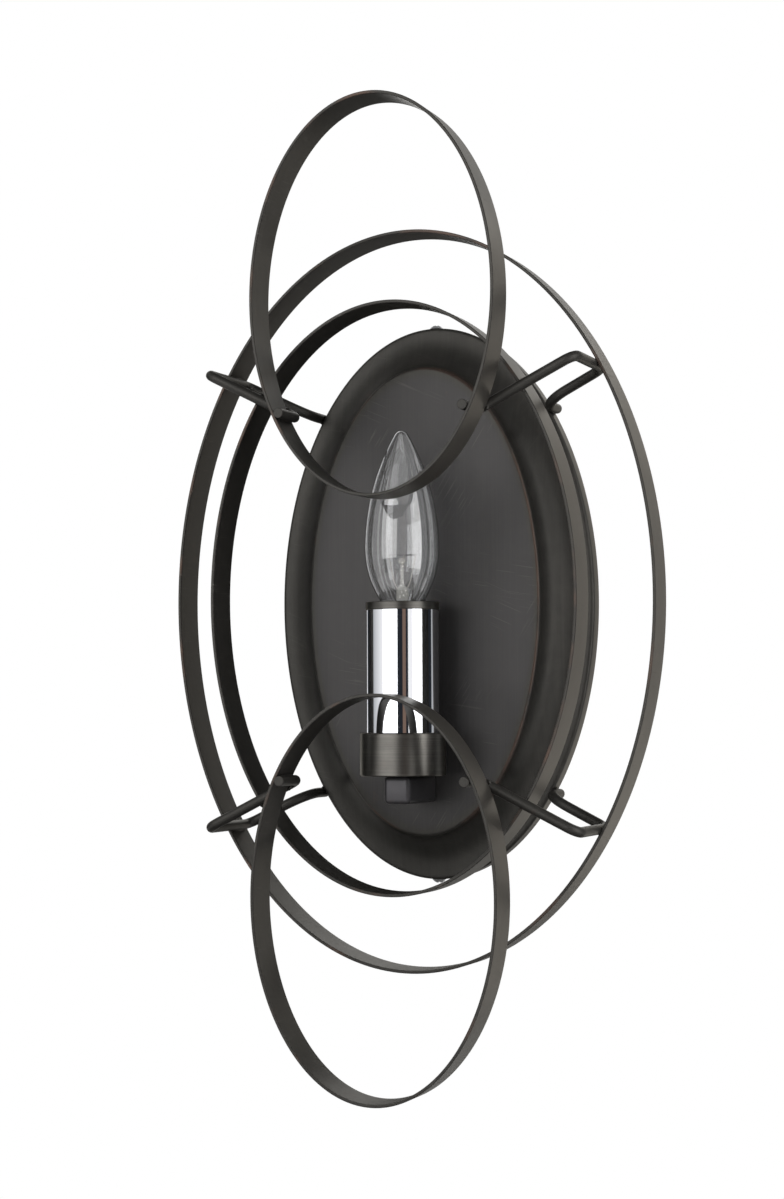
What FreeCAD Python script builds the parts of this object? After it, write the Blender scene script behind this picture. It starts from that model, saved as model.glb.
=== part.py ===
"""Wall lamp: four oval hoops of flat bar on bent rods, round a candle socket on an oval canopy.

The origin is the middle of the canopy's back, on the wall. +Z is up, +X is to the viewer's
right and the lamp stands out towards -Y. Lengths are millimetres.
"""
import FreeCAD
import Part
import math
import os

V = FreeCAD.Vector
X_AXIS = V(1, 0, 0)
Y_AXIS = V(0, 1, 0)
Z_AXIS = V(0, 0, 1)

# One overrun for every cut, and the depth that a weld melts into its neighbour
overrun = 2.0
weld = 0.15

# Counts and shares of the curves
round_steps = 3
cove_steps = 6
hexagon_sides = 6
aligned_share = 0.5

# Canopy: a pressed oval cover with a skirt, a hollow cove and a flat raised face
canopy_half_width = 79.5
canopy_half_height = 133.5
canopy_depth = 27.0
canopy_wall = 1.2
skirt_depth = 9.0
rim_radius = 1.8
lip_radius = 1.6
cove_run = 19.5

# Hoops: flat bar bent on edge and welded shut
bar_width = 20.0
bar_thickness = 1.5
bar_edge = 0.25
outer_half_width = 119.0
outer_half_height = 175.0
outer_front = 47.0
inner_half_width = 89.5
inner_half_height = 137.5
small_half_width = 59.0
small_half_height = 92.5
small_rise = 137.0

# Brackets: one bent rod at each corner carries the hoops on the canopy
rod_radius = 2.4
rod_front_leg = 76.75
rod_outer_corner = 28.0
rod_inner_corner = 25.0
rod_wall_gap = 2.0
rod_proud = 1.0
peg_angle = 36.3
outer_touch_angle = 38.5
canopy_touch_angle = 43.0
tight_bend = 4.0
corner_bend = 5.5
gentle_bend = 14.0

# Socket group: its upright axis stands this far from the wall
socket_reach = 56.0
arm_side = 13.0
arm_wall = 1.5
arm_end_wall = 2.0
arm_corner = 1.4
arm_nose = 9.0
cup_radius = 20.0
cup_height = 20.0
cup_floor = 3.0
cup_foot_inset = 51.0
cup_edge = 0.4
sleeve_radius = 17.0
sleeve_wall = 1.0
sleeve_length = 74.0
sleeve_clearance = 0.2
cap_overhang = 0.15
cap_height = 3.75
cap_hole_radius = 12.5
cap_edge = 0.3
spigot_depth = 3.0
spigot_wall = 1.2

# Threaded tubes, nuts and washers that hold the arm and the cup
nipple_radius = 4.75
nipple_bore = 3.4
thread_clearance = 0.05
nut_flats = 14.0
nut_height = 3.5
cup_nut_height = 3.0
washer_radius = 10.0
washer_height = 1.0
nipple_stand = 1.8
cup_nipple_stand = 2.2
nipple_inside = 2.0

# Lamp holder inside the sleeve
socket_radius = 10.8
socket_length = 35.5
socket_clearance = 2.8
holder_leg_width = 8.0
holder_leg_thickness = 1.2
holder_leg_grip = 8.0
shell_wall = 0.5
shell_clearance = 0.1
shell_below_rim = 0.7
shell_length = 13.5
contact_radius = 3.2
contact_height = 1.6
tongue_width = 3.0

# Bulb: a torpedo glass on a small screw base, its heights taken from the sleeve's top
bulb_radius = 17.5
bulb_glass_wall = 0.9
bulb_tip_rise = 84.1
bulb_belly_rise = 28.5
bulb_tip_radius = 3.5
bulb_shoulder_radius = 44.0
bulb_neck_bend = 6.0
neck_clearance = 0.1
base_radius = 5.95
base_wall = 0.3
base_length = 14.5
base_overlap = 2.0
insulator_height = 2.5
insulator_tip_radius = 2.6
bulb_contact_radius = 2.0
bulb_contact_height = 1.4

# Glass mount, wires and filament inside the bulb
stem_radius = 2.9
stem_top_rise = 10.5
rod_stem_radius = 1.5
button_rise = 23.0
button_radius = 2.0
support_radius = 0.2
support_reach = 4.0
lamp_wire_radius = 0.25
filament_radius = 0.35
filament_half_span = 6.8
filament_rise = 26.0
lamp_wire_foot = 1.2
lamp_wire_turn_rise = 13.5
lamp_wire_bend = 5.0

# Wall strap that hides under the canopy, and its screws
strap_width = 22.0
strap_thickness = 2.0
strap_clearance = 0.3
strap_bend = 1.5
box_hole_spacing = 79.4
box_hole_length = 23.8
box_hole_radius = 2.4
centre_hole_radius = 5.3
side_screw_radius = 1.9
side_screw_clearance = 0.05
side_screw_hole_gap = 0.25
side_screw_length = 9.0
side_screw_head_radius = 3.4
side_screw_head_height = 1.9
side_screw_depth = 4.7
side_screw_seat_gap = 0.05
ground_height = 16.0
ground_screw_radius = 2.0
ground_head_radius = 4.5
ground_head_height = 1.6
ground_hex_flats = 7.0
ground_hex_height = 2.6

# Wires inside the arm and the canopy
lead_radius = 1.1
lead_offset = 1.4
lead_elbow = 4.4
lead_turn = 8.0
lead_back = 12.5
lead_rise = 60.0
ground_wire_radius = 0.8
ground_wire_start = 4.5
ground_wire_out = 12.0
ground_wire_rise = 44.0
ground_wire_turn = 5.0
ground_wire_lift = 6.0
ground_wire_step = 14.0

# Depths and heights that follow from the sizes above
inner_front = rod_front_leg - rod_radius + weld
small_back = rod_front_leg + rod_radius - weld
small_front = small_back + bar_width
cove_rise = canopy_depth - skirt_depth - lip_radius
cup_foot = canopy_half_height - cup_foot_inset
arm_height = -cup_foot - arm_side / 2
cup_floor_top = -cup_foot + cup_floor
sleeve_top = cup_floor_top + sleeve_length
bulb_tip = sleeve_top + bulb_tip_rise
bulb_belly_height = sleeve_top + bulb_belly_rise
stem_top = sleeve_top + stem_top_rise
button_height = sleeve_top + button_rise
filament_height = sleeve_top + filament_rise
lamp_wire_turn_height = sleeve_top + lamp_wire_turn_rise
neck_radius = base_radius - base_wall - neck_clearance
bend_across = neck_radius + bulb_neck_bend
bend_reach = bulb_shoulder_radius + bulb_neck_bend
bend_drop = math.sqrt(bend_reach**2 - (bend_across - bulb_radius + bulb_shoulder_radius) ** 2)
base_top = bulb_belly_height - bend_drop
glass_foot = base_top - base_overlap
base_bottom = base_top - base_length
bulb_bottom = base_bottom - insulator_height - bulb_contact_height
socket_top = base_top - socket_clearance
socket_bottom = socket_top - socket_length
bore_bottom = bulb_bottom - contact_height
nipple_hole_radius = nipple_radius + thread_clearance
shell_radius = base_radius + shell_clearance + shell_wall
stem_flare_radius = neck_radius - bulb_glass_wall - neck_clearance
strap_corner_share = strap_width / 2 / (canopy_half_width - canopy_wall)
tab_depth = skirt_depth - canopy_wall - strap_clearance
tab_outer = (canopy_half_height - canopy_wall) * math.sqrt(1 - strap_corner_share**2) - strap_clearance
plateau_back = canopy_depth - canopy_wall
arm_nut_front = plateau_back - washer_height
arm_nut_back = arm_nut_front - nut_height
cup_nut_top = cup_floor_top + cup_nut_height


def save(name, shape):
    """Writes one sub-part and refuses a shape that isn't a sound solid."""
    solids = shape.Solids
    if not shape.isValid() or not solids:
        raise ValueError(name + " is not a sound solid")
    shape.exportStep("parts/" + name + ".step")
    print(name, len(solids), round(shape.Volume, 1))


def oval_wire(half_width, half_height, front, centre_height=0.0):
    """An upright ellipse, a stated distance in front of the wall."""
    centre = V(0, -front, centre_height)
    top = centre + Z_AXIS * half_height
    side = centre + X_AXIS * half_width
    return Part.Wire(Part.Ellipse(top, side, centre).toShape())


def oval_slab(half_width, half_height, front, back, centre_height=0.0):
    """A solid oval between two distances from the wall."""
    face = Part.Face(oval_wire(half_width, half_height, front, centre_height))
    return face.extrude(Y_AXIS * (front - back))


def cylinder(radius, start, axis, length):
    return Part.makeCylinder(radius, length, start, axis)


def hole(radius, start, axis, length):
    """A cutter that runs past both faces of a wall of that length."""
    return cylinder(radius, start - axis * overrun, axis, length + 2 * overrun)


def tube(radius, bore, start, axis, length):
    """A round tube with a plain bore."""
    return cylinder(radius, start, axis, length).cut(hole(bore, start, axis, length))


def block(low, high):
    """A box between two opposite corners."""
    size = high - low
    return Part.makeBox(size.x, size.y, size.z, low)


def hexagon(flats, start, axis, height, turn):
    """A hexagonal prism with its first corner towards the turn direction."""
    corner_radius = flats / 2 / math.cos(math.pi / hexagon_sides)
    side = axis.cross(turn)
    points = []
    for step in range(hexagon_sides + 1):
        angle = 2 * math.pi * step / hexagon_sides
        points.append(start + (turn * math.cos(angle) + side * math.sin(angle)) * corner_radius)
    return Part.Face(Part.makePolygon(points)).extrude(axis * height)


def nut(start, axis, height, turn):
    """A hexagonal nut for the threaded tubes."""
    body = hexagon(nut_flats, start, axis, height, turn)
    return body.cut(hole(nipple_hole_radius, start, axis, height))


def revolved(edges, centre):
    """A solid turned about an upright axis from a closed outline in the XZ plane."""
    face = Part.Face(Part.Wire(edges))
    return face.revolve(centre, Z_AXIS, 360)


def line(start, end):
    return Part.LineSegment(start, end).toShape()


def arc_about(middle, start, end):
    """The shorter arc between two points at one distance from a middle point."""
    radius = start.distanceToPoint(middle)
    halfway = (start + end) / 2 - middle
    return Part.Arc(start, middle + halfway.normalize() * radius, end).toShape()


def rod_path(points, bends):
    """Straight runs joined by tangent arcs, one bend radius for each inner point."""
    edges = []
    start = points[0]
    for index in range(1, len(points) - 1):
        corner = points[index]
        radius = bends[index - 1]
        before = (corner - points[index - 1]).normalize()
        after = (points[index + 1] - corner).normalize()
        half_turn = before.getAngle(after) / 2
        setback = radius * math.tan(half_turn)
        inward = (after - before).normalize()
        middle = corner + inward * (radius / math.cos(half_turn) - radius)
        first = corner - before * setback
        last = corner + after * setback
        edges.append(line(start, first))
        edges.append(Part.Arc(first, middle, last).toShape())
        start = last
    edges.append(line(start, points[-1]))
    return Part.Wire(edges)


def rod(radius, points, bends):
    """A round rod or wire swept along a bent path."""
    path = rod_path(points, bends)
    along = (points[1] - points[0]).normalize()
    section = Part.Wire(Part.Circle(points[0], along, radius).toShape())
    return path.makePipeShell([section], True, False)


def beside_oval(half_width, half_height, angle, offset):
    """A point at a distance outside an ellipse, or inside when the distance is negative."""
    width = half_width * math.cos(math.radians(angle))
    height = half_height * math.sin(math.radians(angle))
    normal = V(width / half_width**2, 0, height / half_height**2).normalize()
    return V(width, 0, height) + normal * offset


def canopy_skin(inset):
    """The canopy's filled form, drawn in by a sheet thickness for its hollow side."""

    def section(turn_in, front):
        return oval_wire(canopy_half_width - turn_in, canopy_half_height - turn_in, front)

    def quarter(turn_in, front, run, rise, inward, steps):
        wires = []
        for step in range(steps + 1):
            angle = math.radians(90 * step / steps)
            if inward:
                wires.append(section(turn_in - run * math.cos(angle), front + rise * math.sin(angle)))
            else:
                wires.append(section(turn_in + run * math.sin(angle), front - rise * math.cos(angle)))
        return Part.makeLoft(wires, True)

    low = overrun if inset else 0.0
    skirt = oval_slab(canopy_half_width - inset, canopy_half_height - inset, skirt_depth - rim_radius, -low)
    rim_front = skirt_depth - rim_radius
    rim = quarter(rim_radius, rim_front, rim_radius - inset, rim_radius - inset, True, round_steps)
    face_edge = rim_radius + cove_run
    cove_top = skirt_depth + cove_rise
    cove = quarter(rim_radius, cove_top, cove_run + inset, cove_rise + inset, False, cove_steps)
    lip_middle = face_edge + lip_radius
    lip = quarter(lip_middle, cove_top, lip_radius - inset, lip_radius - inset, True, round_steps)
    return skirt.fuse([rim, cove, lip]).removeSplitter()


def canopy():
    """The oval cover, open at the wall, with its holes for the arm and the side screws."""
    shell = canopy_skin(0.0).cut(canopy_skin(canopy_wall))
    shell = shell.cut(hole(nipple_hole_radius, V(0, -canopy_depth, arm_height), Y_AXIS, canopy_wall))
    for side in (1, -1):
        start = V(0, -side_screw_depth, side * (canopy_half_height - canopy_wall))
        shell = shell.cut(hole(side_screw_radius + side_screw_hole_gap, start, Z_AXIS * side, canopy_wall))
    return shell


def hoop(half_width, half_height, front, centre_height=0.0):
    """A closed hoop of flat bar on edge."""
    outer = oval_slab(half_width, half_height, front, front - bar_width, centre_height)
    inner = oval_slab(
        half_width - bar_thickness,
        half_height - bar_thickness,
        front + overrun,
        front - bar_width - overrun,
        centre_height,
    )
    band = outer.cut(inner)
    rims = [edge for edge in band.Edges if isinstance(edge.Curve, Part.Ellipse)]
    return band.makeChamfer(bar_edge, rims)


def bracket():
    """The upper right rod: peg, front leg, outer run, back leg and the stub beside the canopy."""
    inside = weld - rod_radius
    small_width = small_half_width - bar_thickness
    small_height = small_half_height - bar_thickness
    peg = beside_oval(small_width, small_height, -peg_angle, inside) + Z_AXIS * small_rise
    outer_width = outer_half_width - bar_thickness
    outer_height = outer_half_height - bar_thickness
    outer = beside_oval(outer_width, outer_height, outer_touch_angle, inside)
    wall = beside_oval(canopy_half_width, canopy_half_height, canopy_touch_angle, -inside)
    points = [
        peg - Y_AXIS * (small_front + rod_proud),
        peg - Y_AXIS * rod_front_leg,
        outer - Y_AXIS * rod_front_leg,
        outer - Y_AXIS * rod_outer_corner,
        wall - Y_AXIS * rod_inner_corner,
        wall - Y_AXIS * rod_wall_gap,
    ]
    return rod(rod_radius, points, [tight_bend, corner_bend, corner_bend, gentle_bend])


def arm():
    """The square tube from the canopy to the socket, closed at both ends and drilled twice."""
    half = arm_side / 2
    low = V(-half, -socket_reach - arm_nose, arm_height - half)
    high = V(half, -canopy_depth, arm_height + half)
    body = block(low, high)
    long_edges = [edge for edge in body.Edges if abs(edge.tangentAt(edge.FirstParameter).y) > aligned_share]
    nose_edges = [edge for edge in body.Edges if edge.CenterOfMass.y < low.y + arm_corner]
    body = body.makeFillet(arm_corner, long_edges + nose_edges)
    hollow = block(
        low + V(arm_wall, arm_end_wall, arm_wall),
        high - V(arm_wall, arm_end_wall, arm_wall),
    )
    body = body.cut(hollow)
    up_start = V(0, -socket_reach, high.z - arm_wall)
    up_hole = hole(nipple_hole_radius, up_start, Z_AXIS, arm_wall)
    back_start = V(0, high.y - arm_end_wall, arm_height)
    back_hole = hole(nipple_hole_radius, back_start, Y_AXIS, arm_end_wall)
    return body.cut([up_hole, back_hole])


def cup():
    """The turned cup that the sleeve stands in."""
    foot = V(0, -socket_reach, -cup_foot)
    body = cylinder(cup_radius, foot, Z_AXIS, cup_height)
    rims = [edge for edge in body.Edges if isinstance(edge.Curve, Part.Circle)]
    body = body.makeChamfer(cup_edge, rims)
    well = cylinder(sleeve_radius + sleeve_clearance, foot + Z_AXIS * cup_floor, Z_AXIS, cup_height)
    return body.cut([well, hole(nipple_hole_radius, foot, Z_AXIS, cup_floor)])


def sleeve_cap():
    """The ring that closes the sleeve's top, with a spigot inside the sleeve."""
    start = V(0, -socket_reach, sleeve_top)
    ring = cylinder(sleeve_radius + cap_overhang, start, Z_AXIS, cap_height)
    rims = [edge for edge in ring.Edges if isinstance(edge.Curve, Part.Circle)]
    ring = ring.makeChamfer(cap_edge, rims)
    spigot_radius = sleeve_radius - sleeve_wall - thread_clearance
    spigot_foot = start - Z_AXIS * spigot_depth
    spigot = tube(spigot_radius, spigot_radius - spigot_wall, spigot_foot, Z_AXIS, spigot_depth)
    return ring.cut(hole(cap_hole_radius, start, Z_AXIS, cap_height)).fuse(spigot)


def holder_leg():
    """The bent strip that carries the lamp holder on the cup's threaded tube."""
    axis = V(0, -socket_reach, 0)
    half = holder_leg_width / 2
    reach = socket_radius + holder_leg_thickness
    eye_radius = half + nipple_radius / 2
    seat = axis + Z_AXIS * cup_nut_top
    eye = cylinder(eye_radius, seat, Z_AXIS, holder_leg_thickness)
    foot = block(seat + V(0, -half, 0), seat + V(reach, half, holder_leg_thickness))
    leg = block(
        axis + V(socket_radius, -half, cup_nut_top),
        axis + V(reach, half, socket_bottom + holder_leg_grip),
    )
    screw_hole = hole(nipple_hole_radius, seat, Z_AXIS, holder_leg_thickness)
    return eye.fuse([foot, leg]).cut(screw_hole).removeSplitter()


def socket_body():
    """The moulded lamp holder with its bore and two wire passages."""
    start = V(0, -socket_reach, socket_bottom)
    body = cylinder(socket_radius, start, Z_AXIS, socket_length)
    bore_foot = V(0, -socket_reach, bore_bottom)
    body = body.cut(cylinder(shell_radius, bore_foot, Z_AXIS, socket_top - bore_bottom + overrun))
    passage_radius = lead_radius + thread_clearance
    for side in (1, -1):
        foot = start + V(side * lead_offset, 0, -overrun)
        body = body.cut(cylinder(passage_radius, foot, Z_AXIS, lead_turn + overrun))
    return body


def socket_contact():
    """The centre contact: a disc with a sprung tongue that the bulb's tip presses on."""
    start = V(0, -socket_reach, bore_bottom)
    disc = cylinder(contact_radius, start, Z_AXIS, contact_height / 2)
    half = tongue_width / 2
    tongue = block(
        start + V(-half, -half, contact_height / 2),
        start + V(half, half, contact_height),
    )
    return disc.fuse(tongue)


def glass_form(inset):
    """The filled torpedo from four tangent arcs, drawn in by the glass wall for the hollow inside it."""
    axis = V(0, -socket_reach, 0)
    crown_height = bulb_tip - bulb_tip_radius - bulb_belly_height
    girth = bulb_radius - bulb_tip_radius
    crown_radius = (crown_height**2 / girth + bulb_radius + bulb_tip_radius) / 2
    tip_middle = axis + Z_AXIS * (bulb_tip - bulb_tip_radius)
    crown_middle = axis + V(bulb_radius - crown_radius, 0, bulb_belly_height)
    shoulder_middle = axis + V(bulb_radius - bulb_shoulder_radius, 0, bulb_belly_height)
    bend_middle = axis + V(bend_across, 0, base_top)

    tip = tip_middle + Z_AXIS * (bulb_tip_radius - inset)
    crown_out = (tip_middle - crown_middle).normalize()
    shoulder = crown_middle + crown_out * (crown_radius - inset)
    belly = crown_middle + X_AXIS * (crown_radius - inset)
    bend_out = (bend_middle - shoulder_middle).normalize()
    bend_start = shoulder_middle + bend_out * (bulb_shoulder_radius - inset)
    neck = bend_middle - X_AXIS * (bulb_neck_bend + inset)
    neck_foot = V(neck.x, neck.y, glass_foot)
    foot = V(0, -socket_reach, glass_foot)
    edges = [
        arc_about(tip_middle, tip, shoulder),
        arc_about(crown_middle, shoulder, belly),
        arc_about(shoulder_middle, belly, bend_start),
        arc_about(bend_middle, bend_start, neck),
        line(neck, neck_foot),
        line(neck_foot, foot),
        line(foot, tip),
    ]
    return revolved(edges, foot)


def bulb_glass():
    """The thin torpedo envelope, open at the neck where the base grips it."""
    return glass_form(0.0).cut(glass_form(bulb_glass_wall))


def bulb_base():
    """The screw shell, a thin cup open at the top."""
    bottom = V(0, -socket_reach, base_bottom)
    outer = cylinder(base_radius, bottom, Z_AXIS, base_length)
    inner = cylinder(base_radius - base_wall, bottom + Z_AXIS * base_wall, Z_AXIS, base_length)
    return outer.cut(inner)


def bulb_insulator():
    """The insulating cone under the screw shell."""
    bottom = V(0, -socket_reach, base_bottom - insulator_height)
    return Part.makeCone(insulator_tip_radius, base_radius - base_wall, insulator_height, bottom, Z_AXIS)


def bulb_stem():
    """The glass mount: a flared foot, a pressed column, a thin rod and its button."""
    axis_foot = V(0, -socket_reach, glass_foot)

    def at(radius, height):
        return V(radius, -socket_reach, height)

    flare_top = glass_foot + stem_flare_radius
    edges = [
        line(axis_foot, at(stem_flare_radius, glass_foot)),
        line(at(stem_flare_radius, glass_foot), at(stem_radius, flare_top)),
        line(at(stem_radius, flare_top), at(stem_radius, stem_top)),
        line(at(stem_radius, stem_top), at(rod_stem_radius, stem_top + stem_radius)),
        line(at(rod_stem_radius, stem_top + stem_radius), at(rod_stem_radius, button_height)),
        line(at(rod_stem_radius, button_height), at(0, button_height)),
        line(at(0, button_height), axis_foot),
    ]
    button = Part.makeSphere(button_radius, at(0, button_height))
    return revolved(edges, axis_foot).fuse(button)


def lamp_wire(side):
    """One wire from the glass mount out to an end of the filament."""
    axis = V(0, -socket_reach, 0)
    points = [
        axis + V(side * lamp_wire_foot, 0, stem_top - stem_radius),
        axis + V(side * (lamp_wire_foot + stem_radius), 0, lamp_wire_turn_height),
        axis + V(side * filament_half_span, 0, filament_height),
    ]
    return rod(lamp_wire_radius, points, [lamp_wire_bend])


def filament():
    """The coiled wire, as one thin arc that bows behind the mount's rod."""
    axis = V(0, -socket_reach, filament_height)
    start = axis - X_AXIS * filament_half_span
    middle = axis + Y_AXIS * support_reach
    end = axis + X_AXIS * filament_half_span
    path = Part.Arc(start, middle, end)
    along = path.tangent(path.FirstParameter)[0]
    section = Part.Wire(Part.Circle(start, along, filament_radius).toShape())
    return Part.Wire(path.toShape()).makePipeShell([section], True, False)


def support():
    """The short wire that holds the filament's middle to the button."""
    start = V(0, -socket_reach + button_radius / 2, button_height)
    end = V(0, -socket_reach + support_reach, filament_height)
    along = end - start
    return cylinder(support_radius, start, along.normalize(), start.distanceToPoint(end))


def wall_strap():
    """The steel strap on the wall box, with a bent tab at each end for the side screws."""
    half = strap_width / 2
    body = block(V(-half, -tab_depth, -tab_outer), V(half, 0, tab_outer))
    outer_edges = [
        edge
        for edge in body.Edges
        if abs(edge.tangentAt(edge.FirstParameter).x) > aligned_share
        and abs(edge.CenterOfMass.y) < overrun
    ]
    body = body.makeFillet(strap_bend, outer_edges)
    inside = tab_outer - strap_thickness
    hollow = block(
        V(-half - overrun, -tab_depth - overrun, -inside),
        V(half + overrun, -strap_thickness, inside),
    )
    body = body.cut(hollow)
    back = V(0, -strap_thickness, 0)
    ground_hole_radius = ground_screw_radius + side_screw_clearance
    cutters = [
        hole(centre_hole_radius, back, Y_AXIS, strap_thickness),
        hole(ground_hole_radius, back + Z_AXIS * ground_height, Y_AXIS, strap_thickness),
    ]
    half_slot = box_hole_length / 2 - box_hole_radius
    for side in (1, -1):
        middle = side * box_hole_spacing / 2
        for end in (half_slot, -half_slot):
            cutters.append(hole(box_hole_radius, back + Z_AXIS * (middle + end), Y_AXIS, strap_thickness))
        low = V(-box_hole_radius, -strap_thickness - overrun, middle - half_slot)
        cutters.append(block(low, V(box_hole_radius, overrun, middle + half_slot)))
        tab_hole = V(0, -side_screw_depth, side * inside)
        tab_hole_radius = side_screw_radius + side_screw_clearance
        cutters.append(hole(tab_hole_radius, tab_hole, Z_AXIS * side, strap_thickness))
    return body.cut(cutters)


def side_screw(side):
    """A domed screw through the canopy's skirt into the strap's tab."""
    seat = V(0, -side_screw_depth, side * (canopy_half_height + side_screw_seat_gap))
    axis = Z_AXIS * side
    shank = cylinder(side_screw_radius, seat - axis * side_screw_length, axis, side_screw_length)
    dome_radius = (side_screw_head_radius**2 + side_screw_head_height**2) / (2 * side_screw_head_height)
    dome = Part.makeSphere(dome_radius, seat + axis * (side_screw_head_height - dome_radius))
    head = cylinder(side_screw_head_radius, seat, axis, side_screw_head_height).common(dome)
    return head.fuse(shank)


def ground_screw():
    """The earth screw in the strap, with a washer face and a hexagon."""
    seat = strap_thickness + 2 * ground_wire_radius
    axis = -Y_AXIS
    head = cylinder(ground_head_radius, V(0, -seat, ground_height), axis, ground_head_height)
    top = V(0, -seat - ground_head_height, ground_height)
    hexagonal = hexagon(ground_hex_flats, top, axis, ground_hex_height, Z_AXIS)
    shank = cylinder(ground_screw_radius, V(0, 0, ground_height), axis, seat)
    return head.fuse([hexagonal, shank])


def ground_wire():
    """The bare earth wire, held under the screw and left as a short tail."""
    flat = -strap_thickness - ground_wire_radius
    height = ground_height + ground_screw_radius + ground_wire_radius
    points = [
        V(ground_wire_start, flat, height),
        V(-ground_wire_out, flat, height),
        V(-ground_wire_out, flat, height + ground_wire_step),
        V(-ground_wire_out, flat - ground_wire_lift, height + ground_wire_rise),
    ]
    return rod(ground_wire_radius, points, [ground_wire_turn, ground_wire_turn])


def lead(side):
    """One insulated wire from the holder, through the cup and arm, into the canopy."""
    across = side * lead_offset
    points = [
        V(across, -socket_reach, socket_bottom + lead_turn),
        V(across, -socket_reach, arm_height),
        V(across, -lead_back, arm_height),
        V(across, -lead_back, arm_height + lead_rise),
    ]
    return rod(lead_radius, points, [lead_elbow, lead_turn])


def save_frame():
    """The canopy, the hoops and the four rods that join them."""
    save("canopy", canopy())
    save("outer_hoop", hoop(outer_half_width, outer_half_height, outer_front))
    save("inner_hoop", hoop(inner_half_width, inner_half_height, inner_front))
    save("upper_hoop", hoop(small_half_width, small_half_height, small_front, small_rise))
    save("lower_hoop", hoop(small_half_width, small_half_height, small_front, -small_rise))
    upper_right = bracket()
    lower_right = upper_right.mirror(V(0, 0, 0), Z_AXIS)
    save("bracket_upper_right", upper_right)
    save("bracket_lower_right", lower_right)
    save("bracket_upper_left", upper_right.mirror(V(0, 0, 0), X_AXIS))
    save("bracket_lower_left", lower_right.mirror(V(0, 0, 0), X_AXIS))


def arm_fixings():
    """The threaded tube through the canopy, and the washer and nut on it."""
    start = V(0, -canopy_depth - arm_end_wall - nipple_inside, arm_height)
    end = -arm_nut_back + nipple_stand
    save("arm_nipple", tube(nipple_radius, nipple_bore, start, Y_AXIS, end - start.y))
    washer_start = V(0, -plateau_back, arm_height)
    save("arm_washer", tube(washer_radius, nipple_hole_radius, washer_start, Y_AXIS, washer_height))
    save("arm_nut", nut(V(0, -arm_nut_front, arm_height), Y_AXIS, nut_height, Z_AXIS))


def cup_fixings():
    """The threaded tube that stands in the arm and the cup, and its nut."""
    start = V(0, -socket_reach, -cup_foot - arm_wall)
    end = cup_nut_top + holder_leg_thickness + cup_nipple_stand
    save("cup_nipple", tube(nipple_radius, nipple_bore, start, Z_AXIS, end - start.z))
    save("cup_nut", nut(V(0, -socket_reach, cup_floor_top), Z_AXIS, cup_nut_height, X_AXIS))


def save_socket():
    """The arm, the cup, the sleeve and what they hold."""
    save("arm", arm())
    arm_fixings()
    save("cup", cup())
    cup_fixings()
    save("holder_leg", holder_leg())
    save("socket_body", socket_body())
    shell_start = V(0, -socket_reach, socket_top - shell_below_rim - shell_length)
    save("socket_shell", tube(shell_radius, shell_radius - shell_wall, shell_start, Z_AXIS, shell_length))
    save("socket_contact", socket_contact())
    sleeve_start = V(0, -socket_reach, cup_floor_top)
    save("sleeve", tube(sleeve_radius, sleeve_radius - sleeve_wall, sleeve_start, Z_AXIS, sleeve_length))
    save("sleeve_cap", sleeve_cap())
    save("lead_live", lead(1))
    save("lead_neutral", lead(-1))


def save_bulb():
    """The bulb: envelope, base and what shows through the glass."""
    save("bulb_glass", bulb_glass())
    save("bulb_base", bulb_base())
    save("bulb_insulator", bulb_insulator())
    contact_start = V(0, -socket_reach, bulb_bottom)
    save("bulb_contact", cylinder(bulb_contact_radius, contact_start, Z_AXIS, bulb_contact_height))
    save("bulb_stem", bulb_stem())
    save("bulb_wire_right", lamp_wire(1))
    save("bulb_wire_left", lamp_wire(-1))
    save("bulb_filament", filament())
    save("bulb_support", support())


def save_wall_parts():
    """What holds the canopy on the wall."""
    save("wall_strap", wall_strap())
    save("side_screw_top", side_screw(1))
    save("side_screw_bottom", side_screw(-1))
    save("ground_screw", ground_screw())
    save("ground_wire", ground_wire())


def main():
    os.makedirs("parts", exist_ok=True)
    save_frame()
    save_socket()
    save_bulb()
    save_wall_parts()


main()
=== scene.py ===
"""The dressed wall lamp: oval hoops of brushed bronze bar round a candle lamp holder, with its stage."""
import math

import bpy
from bpy.props import FloatProperty, FloatVectorProperty, IntProperty, PointerProperty
from bpy.types import Operator, Panel, PropertyGroup
from mathutils import Matrix, Vector


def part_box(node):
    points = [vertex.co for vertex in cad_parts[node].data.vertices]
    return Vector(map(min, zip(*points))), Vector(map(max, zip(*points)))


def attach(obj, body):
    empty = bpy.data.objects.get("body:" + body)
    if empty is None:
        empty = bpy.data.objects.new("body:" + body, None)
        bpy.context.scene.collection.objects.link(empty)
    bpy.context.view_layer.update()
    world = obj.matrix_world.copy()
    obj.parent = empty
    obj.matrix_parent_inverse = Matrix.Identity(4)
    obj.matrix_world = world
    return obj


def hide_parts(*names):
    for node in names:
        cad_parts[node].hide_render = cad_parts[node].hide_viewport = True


bl_info = {
    "name": "Oval Hoop Wall Lamp",
    "version": (1, 0, 0),
    "blender": (4, 5, 0),
    "location": "View3D > Sidebar > Wall Lamp",
    "description": "Builds an oval wall lamp of brushed bronze hoops, with its bulb and a plain studio",
    "category": "Add Mesh",
}

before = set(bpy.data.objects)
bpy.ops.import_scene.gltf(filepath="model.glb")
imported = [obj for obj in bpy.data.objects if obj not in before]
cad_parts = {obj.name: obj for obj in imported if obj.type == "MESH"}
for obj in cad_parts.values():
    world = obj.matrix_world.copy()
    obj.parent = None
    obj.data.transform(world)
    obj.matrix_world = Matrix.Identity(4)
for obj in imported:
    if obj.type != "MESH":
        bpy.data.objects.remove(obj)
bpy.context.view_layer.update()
mm = 0.001
origin = Vector((0, 0, 0))
y_axis = Vector((0, 1, 0))
z_axis = Vector((0, 0, 1))


def middle(node):
    """The middle of a solid's box."""
    low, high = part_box(node)
    return (low + high) / 2


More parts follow.
